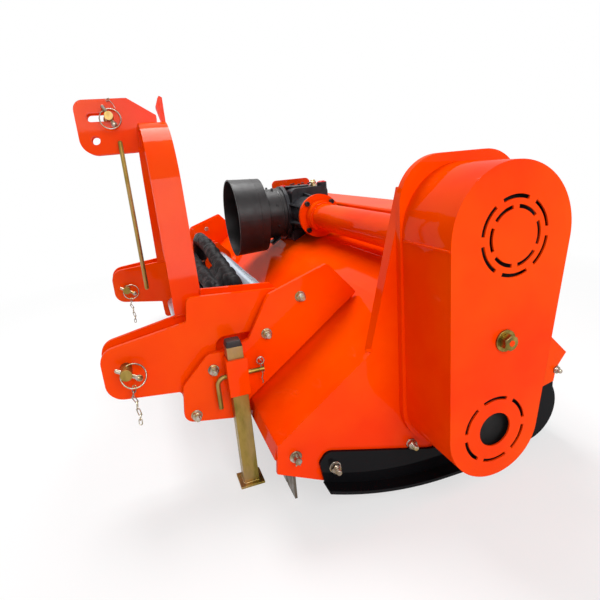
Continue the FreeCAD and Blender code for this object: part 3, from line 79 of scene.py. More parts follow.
class MulcherPaint(bpy.types.PropertyGroup):
    """Colours of the machine's finishes."""

    orange: colour("Orange", "Orange paint of the plates", (0.98, 0.078, 0.0))
    orange_deep: colour("Deep orange", "Orange paint where it lies thicker", (0.92, 0.04, 0.0))
    gloss_black: colour("Gloss black", "Black paint of skids and roller", (0.006, 0.006, 0.007))
    casting_black: colour("Casting black", "Black paint of the gearbox", (0.008, 0.008, 0.01))
    guard_black: colour("Guard black", "Moulded plastic of the drive shaft guard",
                        (0.010, 0.0085, 0.009))
    sleeve_black: colour("Sleeve black", "Woven sleeve over the hoses", (0.0035, 0.003, 0.0035))
    zinc: colour("Yellow zinc", "Passivated zinc on pins and legs", (0.37, 0.25, 0.06))
    zinc_olive: colour("Olive zinc", "Greener bands in the zinc", (0.19, 0.14, 0.022))
    zinc_rose: colour("Rosy zinc", "Rosy bands in the zinc", (0.42, 0.26, 0.13))
    bright_zinc: colour("Bright zinc", "Plating of nuts, clips and rings", (0.5, 0.46, 0.4))
    bar: colour("Bar", "Ground and chromed slide bars", (0.62, 0.72, 0.82))
    worn_steel: colour("Worn steel", "Flaps, rotor and input shaft", (0.13, 0.115, 0.09))
    brass: colour("Brass", "Breather on the gearbox", (0.72, 0.55, 0.3))
    cap_red: colour("Cap red", "Plastic caps on plugs and couplings", (0.7, 0.01, 0.012))
    edge_round: length("Edge round", "Softened edge that the paint shows", 0.0016)


class MulcherFasteners(bpy.types.PropertyGroup):
    """Nuts, studs and screws."""

    nut_across: length("Nut across flats", "Nuts on the end plates and skids", 0.022, 0.004)
    nut_thick: length("Nut thickness", "Height of a nut", 0.011)
    washer_radius: length("Washer radius", "Washers under the nuts", 0.0145)
    stud_radius: length("Stud radius", "Threaded ends in the nuts", 0.0066)
    stud_out: length("Stud out", "Thread that stands out of a nut", 0.012)
    upper_spread: bpy.props.FloatVectorProperty(
        name="Upper spread", description="Nut from the upper bar, rearwards and up", size=2,
        unit="LENGTH", default=(0.050, 0.0415))
    lower_spread: bpy.props.FloatVectorProperty(
        name="Lower spread", description="Nut from the lower bar, rearwards and up", size=2,
        unit="LENGTH", default=(0.0295, 0.057))
    screw_circle: length("Screw circle", "Radius of the tube flange's screw circle", 0.0695)
    screw_radius: length("Screw radius", "Head of a socket screw", 0.0095)


class MulcherPins(bpy.types.PropertyGroup):
    """Linchpins, chains and spring clips."""

    ring_radius: length("Ring radius", "Linchpin ring", 0.0295)
    ring_wire: length("Ring wire", "Radius of the ring's wire", 0.0019)
    shank_radius: length("Shank radius", "Linchpin shank", 0.0052)
    shank_length: length("Shank length", "Linchpin shank", 0.066)
    link_length: length("Link length", "Inner length of a chain link", 0.0155)
    link_wire: length("Link wire", "Radius of the chain's wire", 0.0014)
    clip_wire: length("Clip wire", "Radius of the spring clip's wire", 0.0019)


class MulcherWelds(bpy.types.PropertyGroup):
    """Weld beads."""

    radius: length("Bead radius", "Half the width of a bead", 0.0042)
    ripple: length("Ripple", "Distance between a bead's ripples", 0.005)


class MulcherHoses(bpy.types.PropertyGroup):
    """Sleeved hoses."""

    grain: length("Grain", "Size of the faces the sleeve is made of", 0.0045)
    fold_depth: length("Fold depth", "How deep the sleeve's folds go", 0.0075)


class MulcherStage(bpy.types.PropertyGroup):
    """Camera, lamps and floor."""

    camera_place: bpy.props.FloatVectorProperty(
        name="Camera place", description="Where the camera stands", subtype="TRANSLATION",
        unit="LENGTH", default=(1.8486, -0.4466, 0.8293))
    camera_right: bpy.props.FloatVectorProperty(
        name="Camera right", description="The camera's own sideways direction",
        subtype="DIRECTION", default=(0.3345, 0.9387, -0.0829))
    camera_up: bpy.props.FloatVectorProperty(
        name="Camera up", description="The camera's own upward direction",
        subtype="DIRECTION", default=(-0.2478, 0.1725, 0.9533))
    lens: bpy.props.FloatProperty(
        name="Lens", description="Focal length in millimetres", default=28.07, min=10.0)
    sky: bpy.props.FloatProperty(
        name="Sky", description="Strength of the even light all round", default=0.24, min=0)
    top_watts: bpy.props.FloatProperty(
        name="Top lamp", description="Power of the soft lamp overhead, in watts",
        default=135.0, min=0)
    key_watts: bpy.props.FloatProperty(
        name="Key lamp", description="Power of the soft lamp at the belt drive's side, in watts",
        default=105.0, min=0)
    floor_size: bpy.props.FloatProperty(
        name="Floor size", description="Radius of the floor", unit="LENGTH", default=9.0)
    paper_white: bpy.props.FloatProperty(
        name="Paper white", description="Share of plain white in the floor that the lens sees",
        default=0.62, min=0, max=1)


# ---------------- places


def mm(x, y, z):
    """A vector given in millimetres."""
    return Vector((x, y, z)) * MM


def at(node, share, shift=(0, 0, 0)):
    """The point at a share of a node's box, moved by a shift in millimetres."""
    low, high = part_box(node)
    return Vector([a + (b - a) * s for a, b, s in zip(low, high, share)]) + mm(*shift)


def facing(point, direction, roll=0.0):
    """Puts a shape's own Z along a direction, at a point."""
    turn = Vector(direction).to_track_quat("Z", "Y").to_matrix().to_4x4()
    return Matrix.Translation(point) @ turn @ Matrix.Rotation(roll, 4, "Z")


def circle(count, radius, start, across, up):
    """The angle and the shift of each of a ring of screws, in the plane of two directions."""
    for turn in range(count):
        angle = math.radians(start + 360 * turn / count)
        shift = Vector(across) * math.cos(angle) + Vector(up) * math.sin(angle)
        yield angle, shift * radius


def closed(corners):
    """The sides of a closed outline, each as its two ends."""
    return list(zip(corners, corners[1:] + corners[:1]))


# ---------------- shapes


def new_object(name, data):
    """An object in the scene."""
    item = bpy.data.objects.new(name, data)
    bpy.context.scene.collection.objects.link(item)
    return item


def mesh_object(name, shape):
    """An object in the scene that is made from a shape."""
    mesh = bpy.data.meshes.new(name)
    shape.to_mesh(mesh)
    shape.free()
    return new_object(name, mesh)


def worked_out(item):
    """A shape from an object with its modifiers at work."""
    bpy.context.view_layer.update()
    shown = item.evaluated_get(bpy.context.evaluated_depsgraph_get())
    bm = bmesh.new()
    bm.from_mesh(shown.to_mesh())
    return bm


def outward(bm):
    """A shape with its faces turned outward."""
    bmesh.ops.recalc_face_normals(bm, faces=bm.faces)
    return bm


def raised(bm, high):
    """A solid from a flat shape, which is drawn up Z."""
    made = bmesh.ops.extrude_face_region(bm, geom=bm.faces[:])
    top = [v for v in made["geom"] if isinstance(v, bmesh.types.BMVert)]
    bmesh.ops.translate(bm, vec=(0, 0, high), verts=top)
    return outward(bm)


def spun(bm, steps):
    """A solid from the lines of a shape, spun round Z."""
    bmesh.ops.spin(bm, geom=bm.verts[:] + bm.edges[:], cent=(0, 0, 0), axis=Z, dvec=(0, 0, 0),
                   angle=math.tau, steps=steps, use_merge=True)
    bmesh.ops.remove_doubles(bm, verts=bm.verts, dist=1e-6)
    return outward(bm)


def turned(profile, steps=24):
    """A turned solid, from (radius, height) pairs that start and end on its axis."""
    bm = bmesh.new()
    points = [bm.verts.new((radius, 0, height)) for radius, height in profile]
    for pair in zip(points, points[1:]):
        bm.edges.new(pair)
    return spun(bm, steps)


def lathe(profile, steps=24):
    """A turned solid, from (radius, height) pairs in millimetres."""
    return turned([(radius * MM, height * MM) for radius, height in profile], steps)


def disc(radius, high, edge, low=0.0, steps=24):
    """A disc on Z whose upper edge is turned off."""
    return turned([(0, low), (radius, low), (radius, high - edge), (radius - edge, high),
                   (0, high)], steps)


def overlap(first, second):
    """The space that two solids share."""
    item, other = mesh_object("item", first), mesh_object("other", second)
    shared = item.modifiers.new("shared", "BOOLEAN")
    shared.operation, shared.solver, shared.object = "INTERSECT", "EXACT", other
    bm = worked_out(item)
    bpy.data.objects.remove(item)
    bpy.data.objects.remove(other)
    bmesh.ops.dissolve_limit(bm, angle_limit=0.02, verts=bm.verts, edges=bm.edges)
    return outward(bm)


def hex_head(across, high):
    """A hexagonal head or nut whose corners are turned off, as on a lathe."""
    radius = across / 2
    wide = across * 0.6
    drop = across * 0.11
    crown = turned([(0, -high * 0.1), (wide, -high * 0.1), (wide, high - drop),
                    (radius * 0.92, high), (0, high)], 32)
    bm = bmesh.new()
    bmesh.ops.create_circle(bm, cap_ends=True, radius=across / math.sqrt(3), segments=6)
    return overlap(raised(bm, high * 1.2), crown)


def block(size, rounding, segments=2):
    """A block round its middle, with rounded edges, in millimetres."""
    bm = bmesh.new()
    bmesh.ops.create_cube(bm, size=1.0)
    bmesh.ops.scale(bm, vec=mm(*size), verts=bm.verts)
    bmesh.ops.bevel(bm, geom=bm.edges[:], offset=rounding * MM, affect="EDGES",
                    segments=segments, profile=0.5, material=-1)
    return outward(bm)


def torus(radius, wire, steps=32, sides=8, stretch=0.0):
    """A wire ring about Z; a stretch pulls its halves apart along X, as in a chain link."""
    bm = bmesh.new()
    section = bmesh.ops.create_circle(bm, cap_ends=False, radius=wire, segments=sides)
    upright = Matrix.Translation((radius, 0, 0)) @ Matrix.Rotation(math.pi / 2, 4, "X")
    start = Matrix.Rotation(math.pi / steps, 4, "Z") @ upright
    bmesh.ops.transform(bm, matrix=start, verts=section["verts"])
    spun(bm, steps)
    for sign in (1, -1):
        half = [v for v in bm.verts if v.co.x * sign > 0]
        bmesh.ops.translate(bm, vec=(stretch / 2 * sign, 0, 0), verts=half)
    return outward(bm)


def wire(points, radius, sides=8, swell=None):
    """A round wire along points; swell gives its thickness at each."""
    bm = bmesh.new()
    points = [Vector(p) for p in points]
    last = len(points) - 1
    heading = [(points[min(i + 1, last)] - points[max(i - 1, 0)]).normalized()
               for i in range(last + 1)]
    ring = bmesh.ops.create_circle(bm, cap_ends=True, radius=radius, segments=sides)["verts"]
    bmesh.ops.transform(bm, matrix=facing(points[0], heading[0]), verts=ring)
    edges = bm.edges[:]
    size = 1.0
    for i in range(1, last + 1):
        made = bmesh.ops.extrude_edge_only(bm, edges=edges)["geom"]
        ring = [v for v in made if isinstance(v, bmesh.types.BMVert)]
        edges = [e for e in made if isinstance(e, bmesh.types.BMEdge)
                 and all(v in ring for v in e.verts)]
        turn = heading[i - 1].rotation_difference(heading[i]).to_matrix().to_4x4()
        grow = 1.0 if swell is None else swell(i) / size
        size *= grow
        move = (Matrix.Translation(points[i]) @ Matrix.Scale(grow, 4) @ turn
                @ Matrix.Translation(-points[i - 1]))
        bmesh.ops.transform(bm, matrix=move, verts=ring)
    bmesh.ops.contextual_create(bm, geom=edges)
    return outward(bm)


def extruded(outline, depth):
    """A closed outline of (x, y) corners, extruded up Z, in millimetres."""
    bm = bmesh.new()
    corners = [bm.verts.new(mm(x, y, 0)) for x, y in outline]
    bm.faces.new(corners)
    return raised(bm, depth * MM)


class Piece:
    """Gathers like shapes into one object that rides on a body."""

    def __init__(self, name, body, slot, material, crease=35):
        self.name, self.body, self.slot = name, body, slot
        self.material, self.crease = material, crease
        self.bm = bmesh.new()

    def add(self, shape, place=None):
        """Appends a shape at a place."""
        if place is not None:
            bmesh.ops.transform(shape, matrix=place, verts=shape.verts)
        spare = bpy.data.meshes.new("spare")
        shape.to_mesh(spare)
        shape.free()
        self.bm.from_mesh(spare)
        bpy.data.meshes.remove(spare)

    def finish(self):
        """Makes the object and lets it ride on its body."""
        item = mesh_object(self.name, self.bm)
        item.data.shade_smooth()
        item.data.set_sharp_from_angle(angle=math.radians(self.crease))
        item.data.materials.append(bpy.data.materials[self.material])
        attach(item, self.body)
        return item


# ---------------- finishes


def feed(item, inputs):
    """Gives a node's inputs their values, each a plain value or another node's socket."""
    for name, value in inputs.items():
        if isinstance(value, bpy.types.NodeSocket):
            item.id_data.links.new(value, item.inputs[name])
        else:
            item.inputs[name].default_value = value


def node(tree, kind, inputs, **settings):
    """Adds a node with its settings and inputs."""
    item = tree.nodes.new(kind)
    for key, value in settings.items():
        setattr(item, key, value)
    feed(item, inputs)
    return item


def reckoned(tree, operation, first, second):
    """One value from two."""
    return node(tree, "ShaderNodeMath", {0: first, 1: second}, operation=operation).outputs[0]


def own_places(tree):
    """The object's own coordinates."""
    return node(tree, "ShaderNodeTexCoord", {}).outputs["Object"]


def grain(tree, scale, detail=3.0, stretch=(1, 1, 1), rough=0.5):
    """Noise on the object's own coordinates."""
    mapping = node(tree, "ShaderNodeMapping", {"Vector": own_places(tree), "Scale": stretch})
    item = node(tree, "ShaderNodeTexNoise", {"Vector": mapping.outputs["Vector"], "Scale": scale,
                                             "Detail": detail, "Roughness": rough})
    return item.outputs["Fac"]


def spread(tree, value, low, high, start=0.35, end=0.65):
    """Maps the middle of a noise to a range."""
    item = node(tree, "ShaderNodeMapRange", {"Value": value, "From Min": start, "From Max": end,
                                             "To Min": low, "To Max": high})
    return item.outputs["Result"]


def blend(tree, share, first, second):
    """Mixes two colours, each a colour or a socket."""
    first, second = (c if isinstance(c, bpy.types.NodeSocket) else (*c, 1)
                     for c in (first, second))
    item = node(tree, "ShaderNodeMix", {"Factor": share, 6: first, 7: second}, data_type="RGBA")
    return item.outputs[2]


def relief(tree, shader, height, strength, distance, edge=0.0):
    """Bump from a height, over softened edges."""
    bump = node(tree, "ShaderNodeBump", {"Height": height, "Strength": strength,
                                         "Distance": distance})
    if edge:
        soft = node(tree, "ShaderNodeBevel", {"Radius": edge}, samples=4)
        feed(bump, {"Normal": soft.outputs["Normal"]})
    feed(shader, {"Normal": bump.outputs["Normal"]})


def new_material(name):
    """A new material's node tree and its shader."""
    material = bpy.data.materials.new(name)
    material.use_nodes = True
    return material.node_tree, material.node_tree.nodes["Principled BSDF"]


def mottled(name, colour, other, tone, share, dull, rough, inputs):
    """A finish that drifts between two colours, from two noises, each with its range."""
    tree, shader = new_material(name)
    base = blend(tree, spread(tree, grain(tree, *tone), *share), colour, other)
    feed(shader, {"Base Color": base, "Roughness": spread(tree, grain(tree, *dull), *rough)})
    feed(shader, inputs)
    return tree, shader


def painted(name, colour, deep, edge, rough=(0.3, 0.42), coat=0.27, peel=260.0):
    """Glossy paint: slow changes of tone, orange peel and a film of dust."""
    tree, shader = new_material(name)
    tone = blend(tree, spread(tree, grain(tree, 3.2, 4.0), 0, 1), colour, deep)
    dust = spread(tree, grain(tree, 24.0, 6.0, rough=0.7), 0.0, 0.006, 0.55, 0.8)
    light = [min(1.0, c * 0.6 + 0.22) for c in colour]
    feed(shader, {"Base Color": blend(tree, dust, tone, light),
                  "Roughness": spread(tree, grain(tree, 9.0, 5.0), *rough),
                  "Specular IOR Level": 0.0, "Coat Weight": coat, "Coat IOR": 1.38,
                  "Coat Roughness": 0.04})
    relief(tree, shader, grain(tree, peel, 2.0), 0.05, 0.0006, edge)


def plated(name, colours, edge, rough=(0.28, 0.46), scale=34.0, stretch=(1, 1, 0.35)):
    """Passivated zinc: drifting bands of colour over fine drawing marks."""
    tree, shader = new_material(name)
    main, second, third = colours
    drift = spread(tree, grain(tree, scale, 5.0, stretch, 0.6), 0, 1, 0.42, 0.66)
    bands = spread(tree, grain(tree, scale * 0.37, 3.0, stretch), 0, 0.8, 0.5, 0.7)
    base = blend(tree, bands, blend(tree, drift, main, second), third)
    feed(shader, {"Base Color": base, "Metallic": 0.85,
                  "Roughness": spread(tree, grain(tree, 120.0, 4.0), *rough)})
    relief(tree, shader, grain(tree, 420.0, 3.0, (1, 1, 0.2)), 0.12, 0.0004, edge)


def moulded(name, colour, rough, peel, strength, edge=0.001):
    """Moulded plastic with a fine skin."""
    pale = [min(1.0, c * 1.9 + 0.004) for c in colour]
    tree, shader = mottled(name, colour, pale, (14.0, 5.0), (0, 1, 0.4, 0.75), (30.0, 4.0), rough,
                           {"Specular IOR Level": 0.35})
    relief(tree, shader, grain(tree, peel, 3.0), strength, 0.0006, edge)


def cast(name, colour):
    """Painted sand casting."""
    pale = [c * 2.4 + 0.004 for c in colour]
    tree, shader = mottled(name, colour, pale, (40.0, 6.0), (0, 1), (60.0, 4.0), (0.28, 0.5),
                           {"Specular IOR Level": 0.25})
    relief(tree, shader, grain(tree, 190.0, 5.0, rough=0.65), 0.35, 0.0012, 0.0022)


def ground_bar(name, colour):
    """Ground bar: fine turning marks along its length and a thin film of oil."""
    dull = [c * 0.62 for c in colour]
    tree, shader = mottled(name, colour, dull, (90.0, 4.0, (9, 1, 1)), (0, 0.6),
                           (22.0, 4.0, (0.3, 1, 1)), (0.24, 0.42), {"Metallic": 0.5})
    relief(tree, shader, grain(tree, 600.0, 2.0, (6, 1, 1)), 0.08, 0.0003, 0.001)


def worn(name, colour, rust):
    """Bare and worn steel with a bloom of rust."""
    tree, shader = mottled(name, colour, rust, (18.0, 7.0, (1, 1, 1), 0.7), (0, 1, 0.42, 0.7),
                           (50.0, 5.0), (0.32, 0.6), {"Metallic": 0.7})
    relief(tree, shader, grain(tree, 160.0, 6.0), 0.22, 0.0008, 0.0012)


def woven(name, colour):
    """Woven hose sleeve: a fine crossed weave with rubbed threads."""
    pale = [c * 2.2 + 0.0015 for c in colour]
    tree, shader = mottled(name, colour, pale, (45.0, 5.0), (0, 0.8), (70.0, 4.0), (0.36, 0.6),
                           {"Specular IOR Level": 0.07})
    threads = []
    for turn in (0.785, -0.785):
        mapping = node(tree, "ShaderNodeMapping", {"Vector": own_places(tree),
                                                   "Rotation": (turn, 0.3, turn)})
        wave = node(tree, "ShaderNodeTexWave", {"Vector": mapping.outputs["Vector"],
                                                "Scale": 190.0, "Distortion": 1.4})
        threads.append(wave.outputs["Fac"])
    relief(tree, shader, reckoned(tree, "MULTIPLY", *threads), 0.25, 0.0008)


class MULCHER_OT_finishes(bpy.types.Operator):
    """Makes the finishes and gives each frame part its own"""

    bl_idname = "mulcher.finishes"
    bl_label = "Finishes"

    def execute(self, context):
        paint = context.scene.mulcher_paint
        edge = paint.edge_round
        painted("orange_gloss", paint.orange, paint.orange_deep, edge)
        painted("weld_paint", paint.orange, paint.orange_deep, edge, (0.3, 0.45), peel=120.0)
        painted("black_gloss", paint.gloss_black, paint.gloss_black, edge, (0.25, 0.4), 0.3)
        moulded("guard_plastic", paint.guard_black, (0.34, 0.48), 300.0, 0.12)
        moulded("cap_plastic", paint.guard_black, (0.45, 0.6), 500.0, 0.2, 0.0008)
        # Near-black matte sheet behind the belt cover's openings: painted shade for the cover's
        # inside
        moulded("painted_shade_black", (0.003, 0.003, 0.003), (0.7, 0.85), 300.0, 0.1, 0.0)
        moulded("red_plastic", paint.cap_red, (0.3, 0.45), 500.0, 0.1, 0.0008)
        cast("gearbox_casting", paint.casting_black)
        plated("olive_zinc", (paint.zinc, paint.zinc_olive, paint.zinc_rose), edge)
        even = (1, 1, 1)
        brown, dark_rose = (0.1, 0.06, 0.03), (0.13, 0.09, 0.07)
        plated("bolt_zinc", (paint.zinc_olive, paint.zinc, brown), 0.0008, (0.22, 0.36), 70.0,
               even)
        plated("bright_zinc", (paint.bright_zinc, paint.zinc, dark_rose), 0.0005, (0.16, 0.3),
               60.0, even)
        plated("brass", (paint.brass, paint.zinc, paint.bright_zinc), 0.0006, (0.2, 0.35), 60.0,
               even)
        ground_bar("ground_bar", paint.bar)
        rust, screw_rust = (0.09, 0.045, 0.02), (0.03, 0.024, 0.02)
        screw_black = (0.02, 0.02, 0.022)
        worn("worn_steel", paint.worn_steel, rust)
        worn("dark_screw", screw_black, screw_rust)
        woven("woven_sleeve", paint.sleeve_black)
        by_slot = {"orange_paint": "orange_gloss", "black_paint": "black_gloss",
                   "black_plastic": "guard_plastic", "gear_iron": "gearbox_casting",
                   "yellow_zinc": "olive_zinc", "bar_chrome": "ground_bar",
                   "dark_steel": "worn_steel", "black_sleeve": "woven_sleeve"}
        slots = {row["node"]: row["material_slot"] for row in frame["record"]["subparts"]}
        for name, item in frame["nodes"].items():
            for place in item.material_slots:
                place.material = bpy.data.materials[by_slot[slots[name]]]
        return {"FINISHED"}


# ---------------- nuts and screws


def nut_and_stud(piece, place, sizes, washer=1.0, scale=1.0):
    """A washer, a nut with its collar and the threaded end of a stud."""
    washer_thick, washer_edge = 2.6 * MM, 0.6 * MM
    collar_out, collar_edge = 3 * MM, 1.2 * MM
    pitch, thread_start, point = 1.6 * MM, 2 * MM, 1.2 * MM
    piece.add(disc(sizes.washer_radius * washer, washer_thick, washer_edge, steps=28), place)
    nut = sizes.nut_thick * scale
    across = sizes.nut_across * scale
    piece.add(hex_head(across, nut), place @ Matrix.Translation((0, 0, washer_thick)))
    top = washer_thick + nut
    piece.add(disc(across * 0.44, top + collar_out, collar_edge, top - 1 * MM, 20), place)
    stud = sizes.stud_radius * scale
    thread = [(0, washer_thick)]
    turns = max(3, int((nut + sizes.stud_out * scale) / pitch))
    for turn in range(turns):
        foot = washer_thick + thread_start + turn * pitch
        thread += [(stud * 0.9, foot), (stud, foot + pitch / 2)]
    end = thread[-1][1] + point
    piece.add(turned(thread + [(stud * 0.8, end), (0, end)], 16), place)


class MULCHER_OT_plate_nuts(bpy.types.Operator):
    """Puts nuts round the bar ends on both end plates, and their bolts' heads on the right lug"""

    bl_idname = "mulcher.plate_nuts"
    bl_label = "End plate nuts"

    def execute(self, context):
        sizes = context.scene.mulcher_fasteners
        bars = (("slide_bar_upper", sizes.upper_spread), ("slide_bar_lower", sizes.lower_spread))
        piece = Piece("end_plate_nuts", "housing", "yellow_zinc", "bright_zinc")
        for side, sign in SIDES:
            face = at(f"end_plate_{side}", ((1 + sign) / 2, 0, 0)).x
            for bar, (rearwards, upwards) in bars:
                middle = at(bar, (0.5, 0.5, 0.5))
                for way in (1, -1):
                    point = Vector((face, middle.y + rearwards * way, middle.z + upwards * way))
                    roll = 0.4 * way + rearwards * 40
                    nut_and_stud(piece, facing(point, (sign, 0, 0), roll), sizes)
                    if side == "right":
                        point.x = at("base_plate_right", (1, 0, 0)).x
                        piece.add(hex_head(sizes.nut_across, 8 * MM), facing(point, X, 0.3))
        piece.finish()
        return {"FINISHED"}


class MULCHER_OT_skid_nuts(bpy.types.Operator):
    """Puts the nuts that hold the skids"""

    bl_idname = "mulcher.skid_nuts"
    bl_label = "Skid nuts"

    def execute(self, context):
        sizes = context.scene.mulcher_fasteners
        piece = Piece("skid_nuts", "housing", "yellow_zinc", "bright_zinc")
        for side, sign in SIDES:
            inner = (1 - sign) / 2
            front = at(f"skid_{side}", (inner, 0, 0), (sign * 8, 36, 99))
            rear = at(f"skid_{side}", (inner, 0, 0), (0, 243, 95))
            nut_and_stud(piece, facing(front, (sign, 0, 0), 0.3), sizes)
            nut_and_stud(piece, facing(rear, (sign, 0, 0), 0.1), sizes, washer=0.9)
        piece.finish()
        return {"FINISHED"}


class MULCHER_OT_cover_bolt(bpy.types.Operator):
    """Puts the washer and the big bolt's head on the belt cover"""

    bl_idname = "mulcher.cover_bolt"
    bl_label = "Belt cover bolt"

    def execute(self, context):
        piece = Piece("cover_bolt", "housing", "yellow_zinc", "bolt_zinc")
        bolt_x = at("belt_cover", X, (-20, 0, 0)).x
        place = facing((bolt_x, 201 * MM, 448 * MM), X)
        piece.add(disc(23 * MM, 4.4 * MM, 1 * MM, steps=36), place)
        piece.add(lathe([(0, 4), (14.4, 4), (14.4, 5.4), (0, 5.4)], 30), place)
        piece.add(hex_head(30 * MM, 14.6 * MM), place @ Matrix.Translation((0, 0, 5.2 * MM)))
        piece.finish()
        return {"FINISHED"}


class MULCHER_OT_cover_painted_shade(bpy.types.Operator):
    """Puts a near-black sheet behind the belt cover's slots and shaft hole: painted shade that
    darkens the cover's inside
    """

    bl_idname = "mulcher.cover_lining"
    bl_label = "Belt cover painted shade"

    def execute(self, context):
        low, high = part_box("belt_cover")
        wall, space, thick = 4 * MM, 36 * MM, 3 * MM
        shaft = at("rotor", (0.5, 0.5, 0.5))
        upper = (high.y - low.y) / 2
        ends = ((upper, (low.y + high.y) / 2, high.z - upper), (shaft.z - low.z, shaft.y, shaft.z))
        bm = bmesh.new()
        for radius, y, z in ends:
            for depth in (0, thick):
                middle = Vector((high.x - wall - space - depth, y, z))
                bmesh.ops.create_circle(bm, cap_ends=False, radius=radius - wall, segments=72,
                                        matrix=facing(middle, X))
        hull = bmesh.ops.convex_hull(bm, input=bm.verts)
        spare = [g for g in hull["geom_interior"] if isinstance(g, bmesh.types.BMVert)]
        bmesh.ops.delete(bm, geom=spare, context="VERTS")
        loose = [e for e in bm.edges if not e.link_faces]
        bmesh.ops.delete(bm, geom=loose, context="EDGES")
        bmesh.ops.dissolve_limit(bm, angle_limit=0.01, verts=bm.verts, edges=bm.edges)
        # The sheet is painted shade: it makes the cover's inside look dark through its openings
        piece = Piece("cover_lining", "housing", "black_plastic", "painted_shade_black")
        piece.add(outward(bm))
        piece.finish()
        return {"FINISHED"}


class MULCHER_OT_flange_screws(bpy.types.Operator):
    """Puts the socket screws on the drive tube's flange"""

    bl_idname = "mulcher.flange_screws"
    bl_label = "Flange screws"

    def execute(self, context):
        sizes = context.scene.mulcher_fasteners
        piece = Piece("flange_screws", "housing", "dark_steel", "dark_screw")
        centre = at("drive_tube", (0, 0.5, 0.5), (12, 0, 0))
        head, high = sizes.screw_radius, sizes.screw_radius * 1.05
        socket = head * 0.5
        sunk = -1 * MM
        profile = [(0, sunk), (head, sunk), (head, high * 0.85), (head * 0.88, high),
                   (socket, high), (socket * 0.95, high * 0.45), (0, high * 0.4)]
        for _, shift in circle(4, sizes.screw_circle, 45, Y, Z):
            piece.add(turned(profile, 18), facing(centre + shift, X))
        piece.finish()
        return {"FINISHED"}


# ---------------- drive line trim


def plug(piece, point, radius, high):
    """A capped plug in millimetres: a thin flange, a body and a top with its edge turned off."""
    edge, brim = radius * 0.2, radius * 1.35
    profile = [(0, -2), (brim, -2), (brim, high * 0.22), (radius, high * 0.28),
               (radius, high - edge), (radius - edge, high), (0, high)]
    piece.add(lathe(profile, 20), facing(point, Z))


class MULCHER_OT_gearbox_trim(bpy.types.Operator):
    """Adds the gearbox's plugs, bosses, breather, screws and foot, and the guard's bracket"""

    bl_idname = "mulcher.gearbox_trim"
    bl_label = "Gearbox trim"

    def execute(self, context):
        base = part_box("gearbox_pedestal")
        lid = at("gearbox", (0, 0, 1)).z
        case = Vector((0, 0, lid - 6 * MM))
        caps = Piece("gearbox_caps", "housing", "black_plastic", "red_plastic")
        for x, y, radius, low, high in ((-92, 158, 12, -1, 8), (-74, 292, 12, -1, 8),
                                        (-10, 302, 14, 11, 4)):
            plug(caps, case + mm(x, y, low), radius, high)
        caps.finish()
        boss = Piece("gearbox_bosses", "housing", "gear_iron", "gearbox_casting")
        boss.add(disc(20 * MM, 12 * MM, 3 * MM, -30 * MM, 28), facing(case + mm(-10, 302, 0), Z))
        wheel = [(0, 0), (25, 0), (25, 9), (22, 12), (12, 12), (10, 8), (0, 8)]
        boss.add(lathe(wheel, 30), facing(mm(-18, 311, 694), (0.5, 1, 0.2)))
        boss.finish()
        breather = Piece("gearbox_breather", "housing", "yellow_zinc", "brass")
        place = facing(case + mm(-26, 270, -4), Z)
        breather.add(hex_head(22 * MM, 11 * MM), place)
        for low, radius in ((10, 9), (15, 12.5), (21, 10)):
            profile = [(0, low - 1), (radius, low - 1), (radius, low + 3),
                       (radius - 1.4, low + 4.4), (radius * 0.6, low + 5.2), (0, low + 5.2)]
            breather.add(lathe(profile), place)
        breather.finish()
        screws = Piece("gearbox_screws", "housing", "dark_steel", "dark_screw")
        middle_x = base[0].x + 110 * MM
        front = Vector((middle_x, at("gearbox", (0, 0, 0)).y, 612 * MM))
        for angle, shift in circle(8, 108.5 * MM, 22.5, X, Z):
            screws.add(hex_head(13 * MM, 7 * MM), facing(front + shift, (0, -1, 0), angle))
        cover = Vector((middle_x, 236 * MM, lid - 1 * MM))
        for angle, shift in circle(6, 43 * MM, 30, X, Y):
            screws.add(hex_head(10 * MM, 5 * MM), facing(cover + shift, Z, angle))
        for y in (165, 288):
            place = facing((base[0].x, y * MM, 705 * MM), (-1, 0, 0), 0.2)
            screws.add(hex_head(19 * MM, 10 * MM), place)
        screws.finish()
        skirt = Piece("gearbox_foot", "housing", "gear_iron", "gearbox_casting", 30)
        outline = [(153, -36), (150, -31), (150, 8), (319, 8), (319, -5), (218, -5)]
        along_x = Matrix((Z, X, Y)).to_4x4()
        start = Matrix.Translation((base[1].x - 184 * MM, 0, 538 * MM))
        skirt.add(extruded(outline, 188), start @ along_x)
        for inwards in (60, 8):
            place = Matrix.Translation((base[1].x - inwards * MM, 226 * MM, 560 * MM))
            skirt.add(block((9, 128, 44), 3), place)
        skirt.finish()
        bracket = Piece("guard_bracket", "housing", "gear_iron", "gearbox_casting")
        place = Matrix.Translation(mm(-34, 86, 508)) @ Matrix.Rotation(0.55, 4, "X")
        bracket.add(block((64, 46, 6), 2), place)
        bracket.finish()
        return {"FINISHED"}


